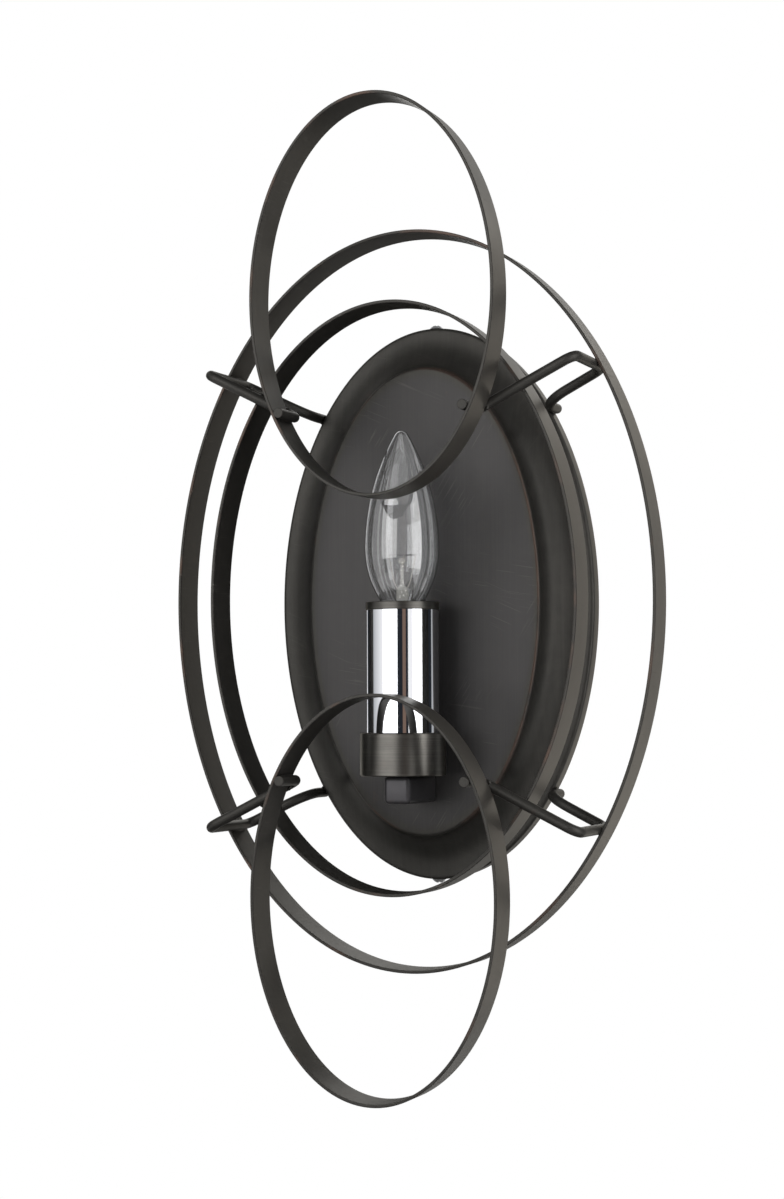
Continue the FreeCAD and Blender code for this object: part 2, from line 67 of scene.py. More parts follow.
def half_size(node):
    """Half the width, depth and height of a solid's box."""
    low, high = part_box(node)
    return (high - low) / 2


def length(name, about, default):
    """A length that a user can set, given in millimetres."""
    return FloatProperty(name=name, description=about, default=default * mm, min=0, subtype="DISTANCE")


def angle(name, about, default):
    """An angle that a user can set, given in degrees."""
    return FloatProperty(name=name, description=about, default=math.radians(default), subtype="ANGLE")


def share(name, about, default):
    """A share between nothing and all."""
    return FloatProperty(name=name, description=about, default=default, min=0, max=1, subtype="FACTOR")


def colour(name, about, default):
    """A colour that a user can set."""
    return FloatVectorProperty(name=name, description=about, default=default, min=0, max=1, subtype="COLOR")


class LampSizes(PropertyGroup):
    """The lamp's sizes that its solids' boxes don't give."""
    bar_thickness: length("Bar thickness", "Thickness of the hoops' flat bar", 1.5)
    bar_edge: length("Bar edge", "Rounding of the flat bar's long edges", 0.35)
    canopy_wall: length("Canopy wall", "Sheet thickness of the canopy", 1.2)
    skirt_depth: length("Skirt depth", "Depth of the canopy's outer skirt", 9)
    rim_radius: length("Rim radius", "Rounding between the skirt and the cove", 1.8)
    cove_run: length("Cove run", "Width of the hollow cove", 19.5)
    lip_radius: length("Lip radius", "Rounding between the cove and the raised face", 1.6)
    rod_radius: length("Rod radius", "Radius of the bent rods", 2.4)
    rod_end: length("Rod end", "Rounding of a rod's cut ends", 0.35)
    bead_radius: length("Bead radius", "Thickness of a weld bead", 0.8)
    weld_depth: length("Weld depth", "How far a rod is melted into what it touches", 0.15)
    peg_angle: angle("Peg angle", "Where a rod touches its small hoop", 36.3)
    outer_touch_angle: angle("Outer touch angle", "Where a rod touches the outer hoop", 38.5)
    canopy_touch_angle: angle("Canopy touch angle", "Where a rod touches the canopy", 43)
    outer_corner: length("Outer corner", "The rear outer corner's distance from the wall", 28)
    inner_corner: length("Inner corner", "The rear inner corner's distance from the wall", 25)
    tight_bend: length("Tight bend", "Bend radius at the peg", 4)
    corner_bend: length("Corner bend", "Bend radius at the outer corners", 5.5)
    gentle_bend: length("Gentle bend", "Bend radius beside the canopy", 14)
    cup_bore: length("Cup bore", "Radius of the hole in the cup's floor", 4.8)
    cup_edge: length("Cup edge", "Rounding of the cup's edges", 0.5)
    cup_play: length("Cup play", "Gap between the cup and the sleeve", 0.2)
    sleeve_wall: length("Sleeve wall", "Wall of the bright sleeve", 1)
    cap_hole: length("Cap hole", "Radius of the hole in the sleeve's cap", 12.5)
    cap_skirt: length("Cap skirt", "Wall of the cap's ring inside the sleeve", 1.2)
    cap_play: length("Cap play", "Gap between that ring and the sleeve", 0.05)
    cap_edge: length("Cap edge", "Rounding of the cap's edges", 0.35)
    arm_corner: length("Arm corner", "Rounding of the square arm", 2.2)
    glass_wall: length("Glass wall", "Wall of the bulb's glass", 0.3)
    glass_tip: length("Glass tip", "Radius of the bulb's tip", 3.5)
    glass_belly: length("Glass belly", "Height of the bulb's widest place", 23)
    glass_shoulder: length("Glass shoulder", "Radius of the curve under the belly", 44)
    glass_bend: length("Glass bend", "Radius of the curve into the neck", 6)
    glass_neck: length("Glass neck", "Radius of the neck in the base", 5.55)
    pinch_height: length("Pinch height", "Top of the mount's pinch above the sleeve", 10.5)
    mount_column: length("Mount column", "Radius of the mount's foot tube", 2.9)
    mount_rod: length("Mount rod", "Radius of the mount's thin rod", 0.8)
    mount_button: length("Mount button", "Radius of the button on that rod", 1.7)
    coil_radius: length("Coil radius", "Radius of the filament's coil", 0.3)
    wire_radius: length("Wire radius", "Radius of the filament's wire", 0.08)
    coil_length: length("Coil length", "Length of the filament's coil along its bow", 16.5)
    coil_bow: angle("Coil bow", "Turn of the filament from end to end", 121.8)
    base_wall: length("Base wall", "Wall of the bulb's base", 0.3)
    base_thread: length("Base thread", "Depth of the thread in the bulb's base", 0.42)
    base_pitch: length("Base pitch", "Rise of that thread in one turn", 2.54)
    screw_shank: length("Screw shank", "Radius of a side screw's shank", 1.9)
    screw_dome: length("Screw dome", "Height of a side screw's head", 1.9)
    screw_thread: length("Screw thread", "Depth of the side screws' thread", 0.3)
    screw_pitch: length("Screw pitch", "Rise of that thread in one turn", 0.8)
    cross_width: length("Cross width", "Width of each slot in a side screw's head", 0.9)
    cross_length: length("Cross length", "Length of each slot in a side screw's head", 4.2)
    cross_turn: angle("Cross turn", "Turn of the slots from the screw's own axes", 20)
    coil_turns: IntProperty(name="Coil turns", description="Turns in the filament", default=44, min=4, max=90)
    segments: IntProperty(name="Segments", description="Steps round a hoop", default=256, min=32, max=512)


class LampColours(PropertyGroup):
    """The colours of the lamp's finishes and of the stage."""
    bronze: colour("Bronze", "Dark bronze of the hoops and canopy", (0.046, 0.044, 0.0405))
    bronze_dark: colour("Dark bronze", "Deeper bronze between the brush marks", (0.035, 0.0335, 0.031))
    bronze_light: colour("Light bronze", "Paler bronze where the brush cut deeper", (0.063, 0.0595, 0.054))
    grazing: colour("Grazing bronze", "Shine that the bronze keeps at a flat angle", (0.7, 0.68, 0.63))
    copper: colour("Copper", "Copper that shows where edges are rubbed", (0.17, 0.095, 0.068))
    rubbed: colour("Rubbed bronze", "Scratches where the finish is worn bright", (0.15, 0.143, 0.132))
    # Painted shade: the darker colour painted on the hoops' inner faces.
    painted_inner_shade: colour("Unbrushed bronze", "Inner faces that the brush hardly reached", (0.034, 0.032, 0.0295))
    # Painted light: the paler colour painted on the hoops' outer faces and on the canopy's skirt.
    brushed: colour("Brushed bronze", "Outer faces, where the brush cut most", (0.126, 0.115, 0.1))
    slate: colour("Slate", "Cooler tone of the canopy's raised face", (0.047, 0.0455, 0.049))
    chrome: colour("Chrome", "Bright plating of the sleeve", (0.86, 0.87, 0.9))
    zinc: colour("Zinc", "Zinc plate of the hidden steel", (0.52, 0.53, 0.55))
    nickel: colour("Nickel", "Plating of the side screws", (0.85, 0.85, 0.87))
    brass: colour("Brass", "Stamped brass of the holder and the bulb's base", (0.72, 0.52, 0.24))
    copper_wire: colour("Copper wire", "Bare earth wire", (0.75, 0.36, 0.2))
    earth_green: colour("Earth green", "Green plating of the earth screw", (0.05, 0.22, 0.09))
    holder: colour("Holder", "Moulding of the lamp holder", (0.025, 0.022, 0.02))
    tungsten: colour("Tungsten", "Filament wire", (0.12, 0.12, 0.13))
    mount_wire: colour("Mount wire", "Wires inside the bulb", (0.32, 0.30, 0.28))
    clear_glass: colour("Clear glass", "Glass of the bulb", (0.99, 0.995, 1.0))
    mount_clear: colour("Clear mount", "Glass of the bulb's mount", (0.97, 0.98, 0.98))
    mount_milky: colour("Milky mount", "The same glass where it was pinched on the wires", (0.86, 0.82, 0.72))
    jacket_black: colour("Black jacket", "Jacket of the live lead", (0.012, 0.012, 0.012))
    jacket_white: colour("White jacket", "Jacket of the neutral lead", (0.68, 0.67, 0.63))
    backdrop: colour("Backdrop", "Pale floor", (0.8, 0.8, 0.8))
    card_dark: colour("Dark card", "Dark cards beside the lamp", (0.018, 0.021, 0.026))
    card_behind: colour("Rear card", "Cards behind, above and below the lamp", (0.09, 0.09, 0.086))
    card_grey: colour("Grey card", "Grey cards beside the lamp", (0.45, 0.46, 0.47))
    card_white: colour("White card", "White and glowing cards", (1, 1, 1))
    card_warm: colour("Warm card", "Strip behind the camera", (0.2, 0.135, 0.105))


class LampStudio(PropertyGroup):
    """The camera and the room."""
    camera_angle: angle("Camera angle", "Turn of the camera towards the lamp's right", 20)
    camera_lift: angle("Camera lift", "Height of the camera as an angle", -2.55)
    camera_roll: angle("Camera roll", "Lean of the camera", -0.25)
    camera_distance: length("Camera distance", "From the camera to what it looks at", 1154)
    focal_length: FloatProperty(name="Focal length", description="For a 36 mm sensor", default=115.5)
    aim: FloatVectorProperty(
        name="Aim", description="What the camera looks at", default=(0.002, -0.0755, -0.0013), unit="LENGTH"
    )
    floor_drop: length("Floor drop", "Distance from the lamp's middle down to the floor", 600)
    world_light: share("World light", "Strength of the room's light on dull surfaces", 0.4)
    floor_glow: share("Floor glow", "Brightness of the floor's own white", 0.5)


def sizes():
    return bpy.context.scene.wall_lamp_sizes


def colours():
    return bpy.context.scene.wall_lamp_colours


def tone_of(key):
    """One of the lamp's colours as three plain numbers."""
    return tuple(getattr(colours(), key))


def scaled(tone, factor):
    """A colour made paler or darker."""
    return tuple(part * factor for part in tone)


# Modelling helpers


def deselect():
    bpy.ops.object.select_all(action="DESELECT")


def pick(*pieces):
    """Selects only these pieces and makes the first one active."""
    deselect()
    for piece in pieces:
        piece.select_set(True)
    bpy.context.view_layer.objects.active = pieces[0]


def edit_all():
    """Enters edit mode with everything selected."""
    bpy.ops.object.mode_set(mode="EDIT")
    bpy.ops.mesh.select_all(action="SELECT")


def begin_ring(name, across, up, centre, facing, segments):
    """Adds one ring, ready in edit mode. A facing ring stands upright, another lies flat."""
    deselect()
    turn = (math.radians(90), 0, 0) if facing else (0, 0, 0)
    bpy.ops.mesh.primitive_circle_add(
        vertices=segments, radius=1, fill_type="NOTHING", location=centre, rotation=turn
    )
    piece = bpy.context.object
    piece.name = name
    piece.data.name = name
    bpy.ops.object.transform_apply(location=True, rotation=True, scale=True)
    edit_all()
    bpy.ops.transform.resize(value=ring_scale(across, up, facing), center_override=centre)
    return piece


def extrude(step):
    """Draws the selected ring out."""
    bpy.ops.mesh.extrude_region_move(TRANSFORM_OT_translate={"value": step})


def ring_scale(across, up, facing):
    """Scale factors across and up a ring, none along its axis."""
    return (across, 1, up) if facing else (across, up, 1)


def end_piece(piece, smooth=30):
    """Closes seams, turns the faces outwards, shades the piece and leaves edit mode."""
    bpy.ops.mesh.select_all(action="SELECT")
    bpy.ops.mesh.remove_doubles(threshold=0.001 * mm)
    bpy.ops.mesh.normals_make_consistent(inside=False)
    bpy.ops.object.mode_set(mode="OBJECT")
    bpy.ops.object.shade_smooth_by_angle(angle=math.radians(smooth))
    return piece


def ring_stack(name, stations, centre, facing, segments, smooth=30):
    """A turned or oval piece: each station is (half across, half up, level along the axis)."""
    axis = y_axis if facing else z_axis
    across, up, level = stations[0]
    flat = Vector(centre)
    flat -= axis * flat.dot(axis)
    piece = begin_ring(name, across, up, flat + axis * level, facing, segments)
    for next_across, next_up, next_level in stations[1:]:
        extrude(axis * (next_level - level))
        if next_across == 0:
            bpy.ops.mesh.merge(type="CENTER")
        else:
            change = ring_scale(next_across / across, next_up / up, facing)
            bpy.ops.transform.resize(value=change, center_override=flat + axis * next_level)
        across, up, level = next_across, next_up, next_level
    return end_piece(piece, smooth)


def turned(name, profile, axis_point, segments=128, smooth=30):
    """A turned piece from (radius, height) points."""
    return ring_stack(name, [(r, r, z) for r, z in profile], axis_point, False, segments, smooth)


def close_ends(piece, smooth):
    """Fills a piece's open ends and finishes its mesh."""
    edit_all()
    bpy.ops.mesh.fill_holes(sides=0)
    return end_piece(piece, smooth)


def add_cube(centre, span, turn=0.0):
    """A box of a given span, turned about Z, for cutting and bevelling."""
    deselect()
    bpy.ops.mesh.primitive_cube_add(size=1, location=centre)
    cube = bpy.context.object
    cube.scale = span
    cube.rotation_euler.z = turn
    bpy.ops.object.transform_apply(location=True, rotation=True, scale=True)
    return cube


def join(pieces):
    """Joins pieces into the first of them."""
    pick(*pieces)
    bpy.ops.object.join()
    return pieces[0]


def apply_modifier(piece, kind, **settings):
    """Adds a modifier and applies it."""
    pick(piece)
    modifier = piece.modifiers.new(kind.title(), kind)
    for key, value in settings.items():
        setattr(modifier, key, value)
    bpy.ops.object.modifier_apply(modifier=modifier.name)


def round_edges(piece, width, steps=2, limit=40):
    """Rounds the edges that are sharper than a limit, in degrees."""
    apply_modifier(
        piece, "BEVEL", width=width, segments=steps, limit_method="ANGLE", angle_limit=math.radians(limit),
        use_clamp_overlap=True, harden_normals=False,
    )
    bpy.ops.object.shade_smooth_by_angle(angle=math.radians(limit))


def finish_piece(piece, body, slot, material, *nodes):
    """Gives a piece its material, its body and the solids that it stands for; the slot is not used."""
    piece.data.materials.clear()
    piece.data.materials.append(material)
    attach(piece, body)
    if nodes:
        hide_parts(*nodes)


def dress(material, *nodes):
    """Gives solids that stay a material of their own."""
    for node in nodes:
        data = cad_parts[node].data
        data.materials.clear()
        data.materials.append(material)


def arc(centre, radius_across, radius_along, start, end, steps):
    """Points of a part of an ellipse, angles in degrees."""
    points = []
    for step in range(steps + 1):
        turn = math.radians(start + (end - start) * step / steps)
        points.append((centre[0] + radius_across * math.cos(turn), centre[1] + radius_along * math.sin(turn)))
    return points


# Shader helpers


class Value:
    """A shader output that adds Math nodes when it is used in a sum."""

    def __init__(self, nodes, socket):
        self.nodes = nodes
        self.socket = socket

    def maths(self, operation, first, second=None, clamp=False):
        inputs = {0: first} if second is None else {0: first, 1: second}
        node = self.nodes.node("ShaderNodeMath", {"operation": operation, "use_clamp": clamp}, inputs)
        return Value(self.nodes, node.outputs[0])

    def __add__(self, other):
        return self.maths("ADD", self, other)

    def __sub__(self, other):
        return self.maths("SUBTRACT", self, other)

    def __mul__(self, other):
        return self.maths("MULTIPLY", self, other)

    def __truediv__(self, other):
        return self.maths("DIVIDE", self, other)

    def __pow__(self, other):
        return self.maths("POWER", self, other)

    def __radd__(self, other):
        return self.maths("ADD", other, self)

    def __rsub__(self, other):
        return self.maths("SUBTRACT", other, self)

    def __rmul__(self, other):
        return self.maths("MULTIPLY", other, self)

    def __rtruediv__(self, other):
        return self.maths("DIVIDE", other, self)

    def __rpow__(self, other):
        return self.maths("POWER", other, self)

    def __neg__(self):
        return self.maths("SUBTRACT", 0, self)

    def __abs__(self):
        return self.maths("ABSOLUTE", self)

    def most(self, other):
        return self.maths("MAXIMUM", self, other)

    def clamped(self):
        return self.maths("ADD", self, 0.0, clamp=True)

    def below(self, limit, softness):
        """1 where the value is well below a limit and 0 above it, with a soft step."""
        return ((limit - self) / softness).clamped()

    def peaks(self, level, steepness):
        """0 where the value is under a level, rising steeply to 1 on its peaks."""
        return ((self - level) * steepness).clamped()


class Nodes:
    """A node tree being built: one method adds any node."""

    def __init__(self, tree):
        self.tree = tree

    def node(self, kind, settings=None, inputs=None):
        """Adds a node, sets it, then fills its sockets with numbers, colours or links."""
        added = self.tree.nodes.new(kind)
        for key, value in (settings or {}).items():
            if key == "stops":
                self.set_stops(added.color_ramp, value)
            else:
                setattr(added, key, value)
        for key, value in (inputs or {}).items():
            self.feed(added.inputs[key], value)
        return added

    def set_stops(self, ramp, stops):
        while len(ramp.elements) < len(stops):
            ramp.elements.new(0.5)
        for element, (position, tint) in zip(ramp.elements, stops):
            element.position = position
            element.color = tint

    def feed(self, socket, value):
        """Links a value to a socket, or sets it."""
        if isinstance(value, Value):
            value = value.socket
        if isinstance(value, bpy.types.NodeSocket):
            self.tree.links.new(value, socket)
        elif hasattr(value, "__len__") and len(value) == 3 and socket.type == "RGBA":
            socket.default_value = (*value, 1)
        else:
            socket.default_value = value

    def seen_clearly(self):
        """1 for what shows straight, in shine or through glass, 0 for light that falls on dull surfaces."""
        rays = self.node("ShaderNodeLightPath").outputs
        straight = Value(self, rays["Is Camera Ray"])
        return straight.most(rays["Is Glossy Ray"]).most(rays["Is Transmission Ray"])


class Finish(Nodes):
    """A material being built, with what the finishes share."""

    def __init__(self, name, **constants):
        self.material = bpy.data.materials.new(name)
        self.material.use_nodes = True
        super().__init__(self.material.node_tree)
        self.shader = self.tree.nodes["Principled BSDF"]
        for socket, value in constants.items():
            self.shader.inputs[socket.replace("_", " ")].default_value = value
        self.place = self.node("ShaderNodeTexCoord").outputs["Object"]

    def set(self, socket, value):
        self.feed(self.shader.inputs[socket], value)

    def mapped(self, place, **inputs):
        """A place turned or stretched by a Mapping node."""
        node = self.node("ShaderNodeMapping", {"vector_type": "POINT"}, {"Vector": place, **inputs})
        return node.outputs["Vector"]

    def coordinate(self, letter):
        """One coordinate of the place, in metres."""
        return Value(self, self.node("ShaderNodeSeparateXYZ", inputs={"Vector": self.place}).outputs[letter])

    def noise(self, scale, detail, roughness=0.6, stretch=(1, 1, 1), turn=0.0):
        """Soft noise, its scale in waves per metre along each axis, turned about Y by degrees."""
        place = self.place
        if turn:
            place = self.mapped(place, Rotation=(0, math.radians(turn), 0))
        place = self.mapped(place, Scale=scaled(stretch, scale))
        inputs = {"Vector": place, "Scale": 1.0, "Detail": detail, "Roughness": roughness}
        return Value(self, self.node("ShaderNodeTexNoise", inputs=inputs).outputs["Fac"])

    def specks(self, scale):
        """The distance to the nearest point of a random set, for crystals and specks."""
        inputs = {"Vector": self.mapped(self.place, Scale=(scale, scale, scale)), "Scale": 1.0}
        return Value(self, self.node("ShaderNodeTexVoronoi", inputs=inputs).outputs["Distance"])

    def ramp(self, value, stops):
        """A colour for each level of a value."""
        tinted = [(position, (*tint, 1)) for position, tint in stops]
        return self.node("ShaderNodeValToRGB", {"stops": tinted}, {"Fac": value}).outputs["Color"]

    def blend(self, mask, first, second):
        """The first colour where a mask is 0 and the second where it is 1."""
        inputs = {"Factor": mask, 6: first, 7: second}
        return self.node("ShaderNodeMix", {"data_type": "RGBA"}, inputs).outputs[2]

    def done(self, base, roughness, height, depth, strength):
        """Feeds colour, roughness and a bump, from a height between 0 and 1 and a depth in millimetres."""
        self.set("Base Color", base)
        self.set("Roughness", roughness.clamped())
        inputs = {"Height": height, "Distance": depth * mm, "Strength": strength}
        self.set("Normal", self.node("ShaderNodeBump", inputs=inputs).outputs["Normal"])
        return self.material

    def oval_place(self, centre_up, half_across, half_up):
        """1 on an upright oval, less inside it and more outside."""
        across = self.coordinate("X") / half_across
        up = (self.coordinate("Z") - centre_up) / half_up
        return (across * across + up * up) ** 0.5

    def scratches(self, turn, across, along):
        """Thin straight scratches in one direction: the peaks of a noise that is stretched along it."""
        lines = self.noise(1, 0, 0.5, (along, 60, across), turn).peaks(0.72, 25)
        patches = self.noise(31, 1, 0.5, (1, 1, 1), turn).peaks(0.57, 14)
        return lines * patches


def bronze_finish(name, grain, tone=1.0, cool=0.0, metal=0.5, raised=None, hoop=None):
    """Brushed dark bronze. The grain stretches the brush marks: large across them, small along them.

    tone makes the bronze paler, cool makes it bluer, metal is the share of bare metal in the dark lacquer.
    raised holds the half sizes of the canopy's raised face, whose lip is rubbed and whose middle is cooler.
    hoop holds a bar's middle height, its half sizes and its front's distance from the wall. They part its
    outer face from its inner one, and from its front edge, where a little copper shows. The inner face gets
    painted shade, a darker colour, and the outer face painted light, a paler colour.
    """
    tint = colours()
    finish = Finish(name, Metallic=metal, Specular_Tint=(*tint.grazing, 1))
    fine = finish.noise(1, 4, 0.65, grain)
    broad = finish.noise(0.25, 2, 0.5, grain)
    cloud = finish.noise(20, 3)
    mottle = finish.noise(150, 3)
    if raised:
        round_place = finish.oval_place(0, *raised)
        face = round_place.below(0.99, 0.03)
        fine = 0.5 + (fine - 0.5) * (0.3 + face * 0.7)
    shade = (fine * 0.45 + broad * 0.12 + cloud * 0.26 + mottle * 0.17).clamped()
    dark, plain, light, slate = (
        scaled(level, tone) for level in (tint.bronze_dark, tint.bronze, tint.bronze_light, tint.slate)
    )
    body = finish.ramp(shade, [(0.38, dark), (0.5, plain), (0.63, light)])
    if cool:
        body = finish.blend((0.4 + cloud * 1.2) * cool, body, slate)
    if raised:
        body = finish.blend(face * 0.6, body, slate)
        lip = abs(round_place - 1.012).below(0.014, 0.012)
        more_right = finish.coordinate("X") / raised[0] * 0.08
        patches = (finish.noise(30, 3) + more_right).peaks(0.45, 7)
        body = finish.blend(lip * patches * 0.35, body, tint.copper)
        # Painted light: the canopy's skirt, its side wall by the wall, is painted paler
        skirt = (-finish.coordinate("Y")).below(8 * mm, 1 * mm)
        body = finish.blend(skirt * (0.2 + fine * 0.3), body, tint.brushed)
    if hoop:
        *oval, front = hoop
        inside = finish.oval_place(*oval).below(1.001, 0.002)
        edge = abs(finish.coordinate("Y") + front).below(0.5 * mm, 0.3 * mm)
        # Painted shade on the hoop's inner faces and painted light on its outer faces, away from the front
        # edge
        body = finish.blend(inside * 0.45, body, tint.painted_inner_shade)
        body = finish.blend((1 - inside) * (1 - edge) * (0.25 + fine * 0.35), body, tint.brushed)
        body = finish.blend(edge * finish.noise(38, 2, 0.5).peaks(0.58, 9) * 0.35, body, tint.copper)
    directions = ((-24, 1700, 30), (-9, 2100, 44), (58, 1900, 50))
    first, second, third = (finish.scratches(*each) for each in directions)
    scratch = first + second + third
    if raised:
        scratch = scratch * (0.25 + face * 0.75)
    body = finish.blend((scratch * 0.3).clamped(), body, tint.rubbed)
    body = finish.blend(finish.noise(55, 4, 0.7).peaks(0.64, 12) * 0.1, body, tint.copper)
    smooth = 0.27 - max(0, metal - 0.5) * 0.22
    roughness = smooth + fine * 0.16 + cloud * 0.14 + scratch * 0.08
    return finish.done(body, roughness, fine * 0.85 + mottle * 0.15 - scratch * 0.4, 0.01, 0.2)


def rod_finish():
    """Satin bronze of the bent rods and welds, without brush marks."""
    tint = colours()
    finish = Finish("Satin bronze rod", Metallic=0.5, Specular_Tint=(*tint.grazing, 1))
    pits = finish.noise(900, 3)
    shade = (finish.noise(90, 4) * 0.6 + pits * 0.4).clamped()
    body = finish.ramp(shade, [(0.38, tint.bronze_dark), (0.64, tint.bronze)])
    body = finish.blend(finish.noise(70, 3).peaks(0.64, 10) * 0.15, body, tint.copper)
    return finish.done(body, 0.37 + pits * 0.18, pits, 0.012, 0.3)


def plate_finish(name, key, rough, smear, grain):
    """Bright plating with faint wipe marks, in one of the lamp's colours."""
    tint = tone_of(key)
    finish = Finish(name, Metallic=1.0)
    wipes = finish.noise(1, 3, 0.6, grain)
    cloud = finish.noise(60, 3, 0.5)
    body = finish.blend(cloud * 0.2, tint, scaled(tint, 0.9))
    return finish.done(body, rough + wipes * smear + cloud * smear * 0.5, wipes, 0.004, 0.15)


def zinc_finish():
    """Zinc plate on stamped steel: a fine crystal mottle and rolling lines."""
    tint = tone_of("zinc")
    finish = Finish("Zinc plate", Metallic=1.0)
    lines = finish.noise(1, 3, 0.6, (1400, 90, 60))
    shade = (finish.specks(420) * 0.6 + lines * 0.4).clamped()
    return finish.done(finish.blend(shade, tint, scaled(tint, 0.62)), 0.26 + shade * 0.22, lines, 0.01, 0.3)


def jacket_finish(name, key, rough=0.42):
    """Plastic of a wire's jacket or a moulding, a little uneven, in one of the lamp's colours."""
    tint = tone_of(key)
    finish = Finish(name)
    grains = finish.noise(2600, 2, 0.5)
    paler = tuple(min(1, part * 1.35 + 0.006) for part in tint)
    body = finish.blend(finish.noise(140, 3) * 0.5, tint, paler)
    return finish.done(body, rough + grains * 0.12, grains, 0.015, 0.3)


def glass_finish():
    """Clear glass with faint draw lines and wipe marks."""
    finish = Finish("Bulb glass", Transmission_Weight=1.0, IOR=1.66)
    wipes = (finish.noise(45, 4) - 0.5) * 0.06
    draw_lines = finish.noise(1, 2, 0.4, (60, 60, 18))
    return finish.done(tone_of("clear_glass"), wipes, draw_lines, 0.05, 0.02)


def mount_finish(pinch):
    """The mount's glass: clear, but milky and uneven above a height, where it was pinched on the wires."""
    finish = Finish("Mount glass", Transmission_Weight=0.6, IOR=1.5)
    milky = ((finish.coordinate("Z") - pinch) / (2 * mm)).clamped()
    grains = finish.noise(900, 3)
    body = finish.blend(milky * (0.3 + grains * 0.5), tone_of("mount_clear"), tone_of("mount_milky"))
    return finish.done(body, 0.03 + milky * grains * 0.4, grains, 0.12, 0.7)


# The lamp's pieces


def on_oval(across, up, turn):
    """A place on an upright ellipse."""
    return Vector((across * math.cos(turn), 0, up * math.sin(turn)))


def outward(place, across, up):
    """The direction straight out of an ellipse at a place on it."""
    return Vector((place.x / across**2, 0, place.z / up**2)).normalized()


def beside_oval(across, up, turn, offset):
    """A point at a distance outside an ellipse, or inside when the distance is negative."""
    place = on_oval(across, up, turn)
    return place + outward(place, across, up) * offset


def bar_oval(node, inset):
    """The middle and the half width and height of a hoop, drawn in by an inset."""
    half = half_size(node)
    return middle(node), half.x - inset, half.z - inset


class LAMP_OT_hoops(Operator):
    """Adds the four oval hoops of flat bar"""
    bl_idname = "wall_lamp.hoops"
    bl_label = "Hoops"

    def execute(self, context):
        size = sizes()
        wall = size.bar_thickness
        brushed_along = (22, 2300, 22)
        for node in ("outer_hoop", "inner_hoop", "upper_hoop", "lower_hoop"):
            low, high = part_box(node)
            half = half_size(node)
            stations = [
                (half.x, half.z, low.y),
                (half.x - wall, half.z - wall, low.y),
                (half.x - wall, half.z - wall, high.y),
                (half.x, half.z, high.y),
                (half.x, half.z, low.y),
            ]
            name = node.replace("_", " ").title().replace(" ", "")
            hoop = ring_stack(name, stations, middle(node), True, size.segments)
            round_edges(hoop, size.bar_edge)
            centre, across, up = bar_oval(node, wall / 2)
            bar = (centre.z, across, up, -low.y)
            material = bronze_finish(name + " bronze", brushed_along, hoop=bar)
            finish_piece(hoop, "fixture", "bronze", material, node)
        return {"FINISHED"}


def rod_corners():
    """The upper right rod's corner points, from the ovals that it touches."""
    size = sizes()
    inside = size.weld_depth - size.rod_radius
    bar = size.bar_thickness
    small_middle, small_across, small_up = bar_oval("upper_hoop", bar)
    _, outer_across, outer_up = bar_oval("outer_hoop", bar)
    wall = half_size("canopy")
    peg = beside_oval(small_across, small_up, -size.peg_angle, inside) + z_axis * small_middle.z
    touch = beside_oval(outer_across, outer_up, size.outer_touch_angle, inside)
    stub = beside_oval(wall.x, wall.z, size.canopy_touch_angle, -inside)
    low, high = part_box("bracket_upper_right")
    front_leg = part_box("inner_hoop")[0].y - size.rod_radius + size.weld_depth
    return [
        peg + y_axis * low.y,
        peg + y_axis * front_leg,
        touch + y_axis * front_leg,
        touch - y_axis * size.outer_corner,
        stub - y_axis * size.inner_corner,
        stub + y_axis * high.y,
    ]


def bend_rod(name, points, bends, radius, segments=24, bend_steps=10):
    """A rod drawn out along straight runs and spun round its bends."""
    piece = begin_ring(name, radius, radius, points[0], True, segments)
    place = points[0]
    for start, corner, end, bend in zip(points, points[1:], points[2:], bends):
        before = (corner - start).normalized()
        after = (end - corner).normalized()
        half_turn = before.angle(after) / 2
        setback = bend * math.tan(half_turn)
        first = corner - before * setback
        inward = (after - before).normalized()
        centre = corner + inward * bend / math.cos(half_turn)
        extrude(first - place)
        bpy.ops.mesh.spin(
            steps=bend_steps, angle=2 * half_turn, center=centre, axis=after.cross(before).normalized()
        )
        place = corner + after * setback
    extrude(points[-1] - place)
    return close_ends(piece, 30)


def mirrored(points, side, level):
    """Points or directions for another corner of the lamp."""
    return [Vector((point.x * side, point.y, point.z * level)) for point in points]


def crossing(oval, start, end):
    """Where a straight run leaves an oval, and the oval's direction there."""
    centre, across, up = oval
    inner, outer = start, end
    for _ in range(30):
        halfway = (inner + outer) / 2
        if ((halfway.x - centre.x) / across) ** 2 + ((halfway.z - centre.z) / up) ** 2 > 1:
            outer = halfway
        else:
            inner = halfway
    return outer, outward(outer - centre, across, up).cross(y_axis)


def nearest_on_oval(oval, point):
    """The nearest place of an oval to a point, and the outward direction there."""
    centre, across, up = oval
    offset = Vector((point.x - centre.x, 0, point.z - centre.z))
    turn = math.atan2(offset.z / up, offset.x / across)
    for _ in range(20):
        place = on_oval(across, up, turn)
        slope = on_oval(across, up, turn + math.pi / 2)
        turn += (offset - place).dot(slope) / slope.dot(slope)
    return Vector((centre.x + place.x, point.y, centre.z + place.z)), outward(place, across, up)


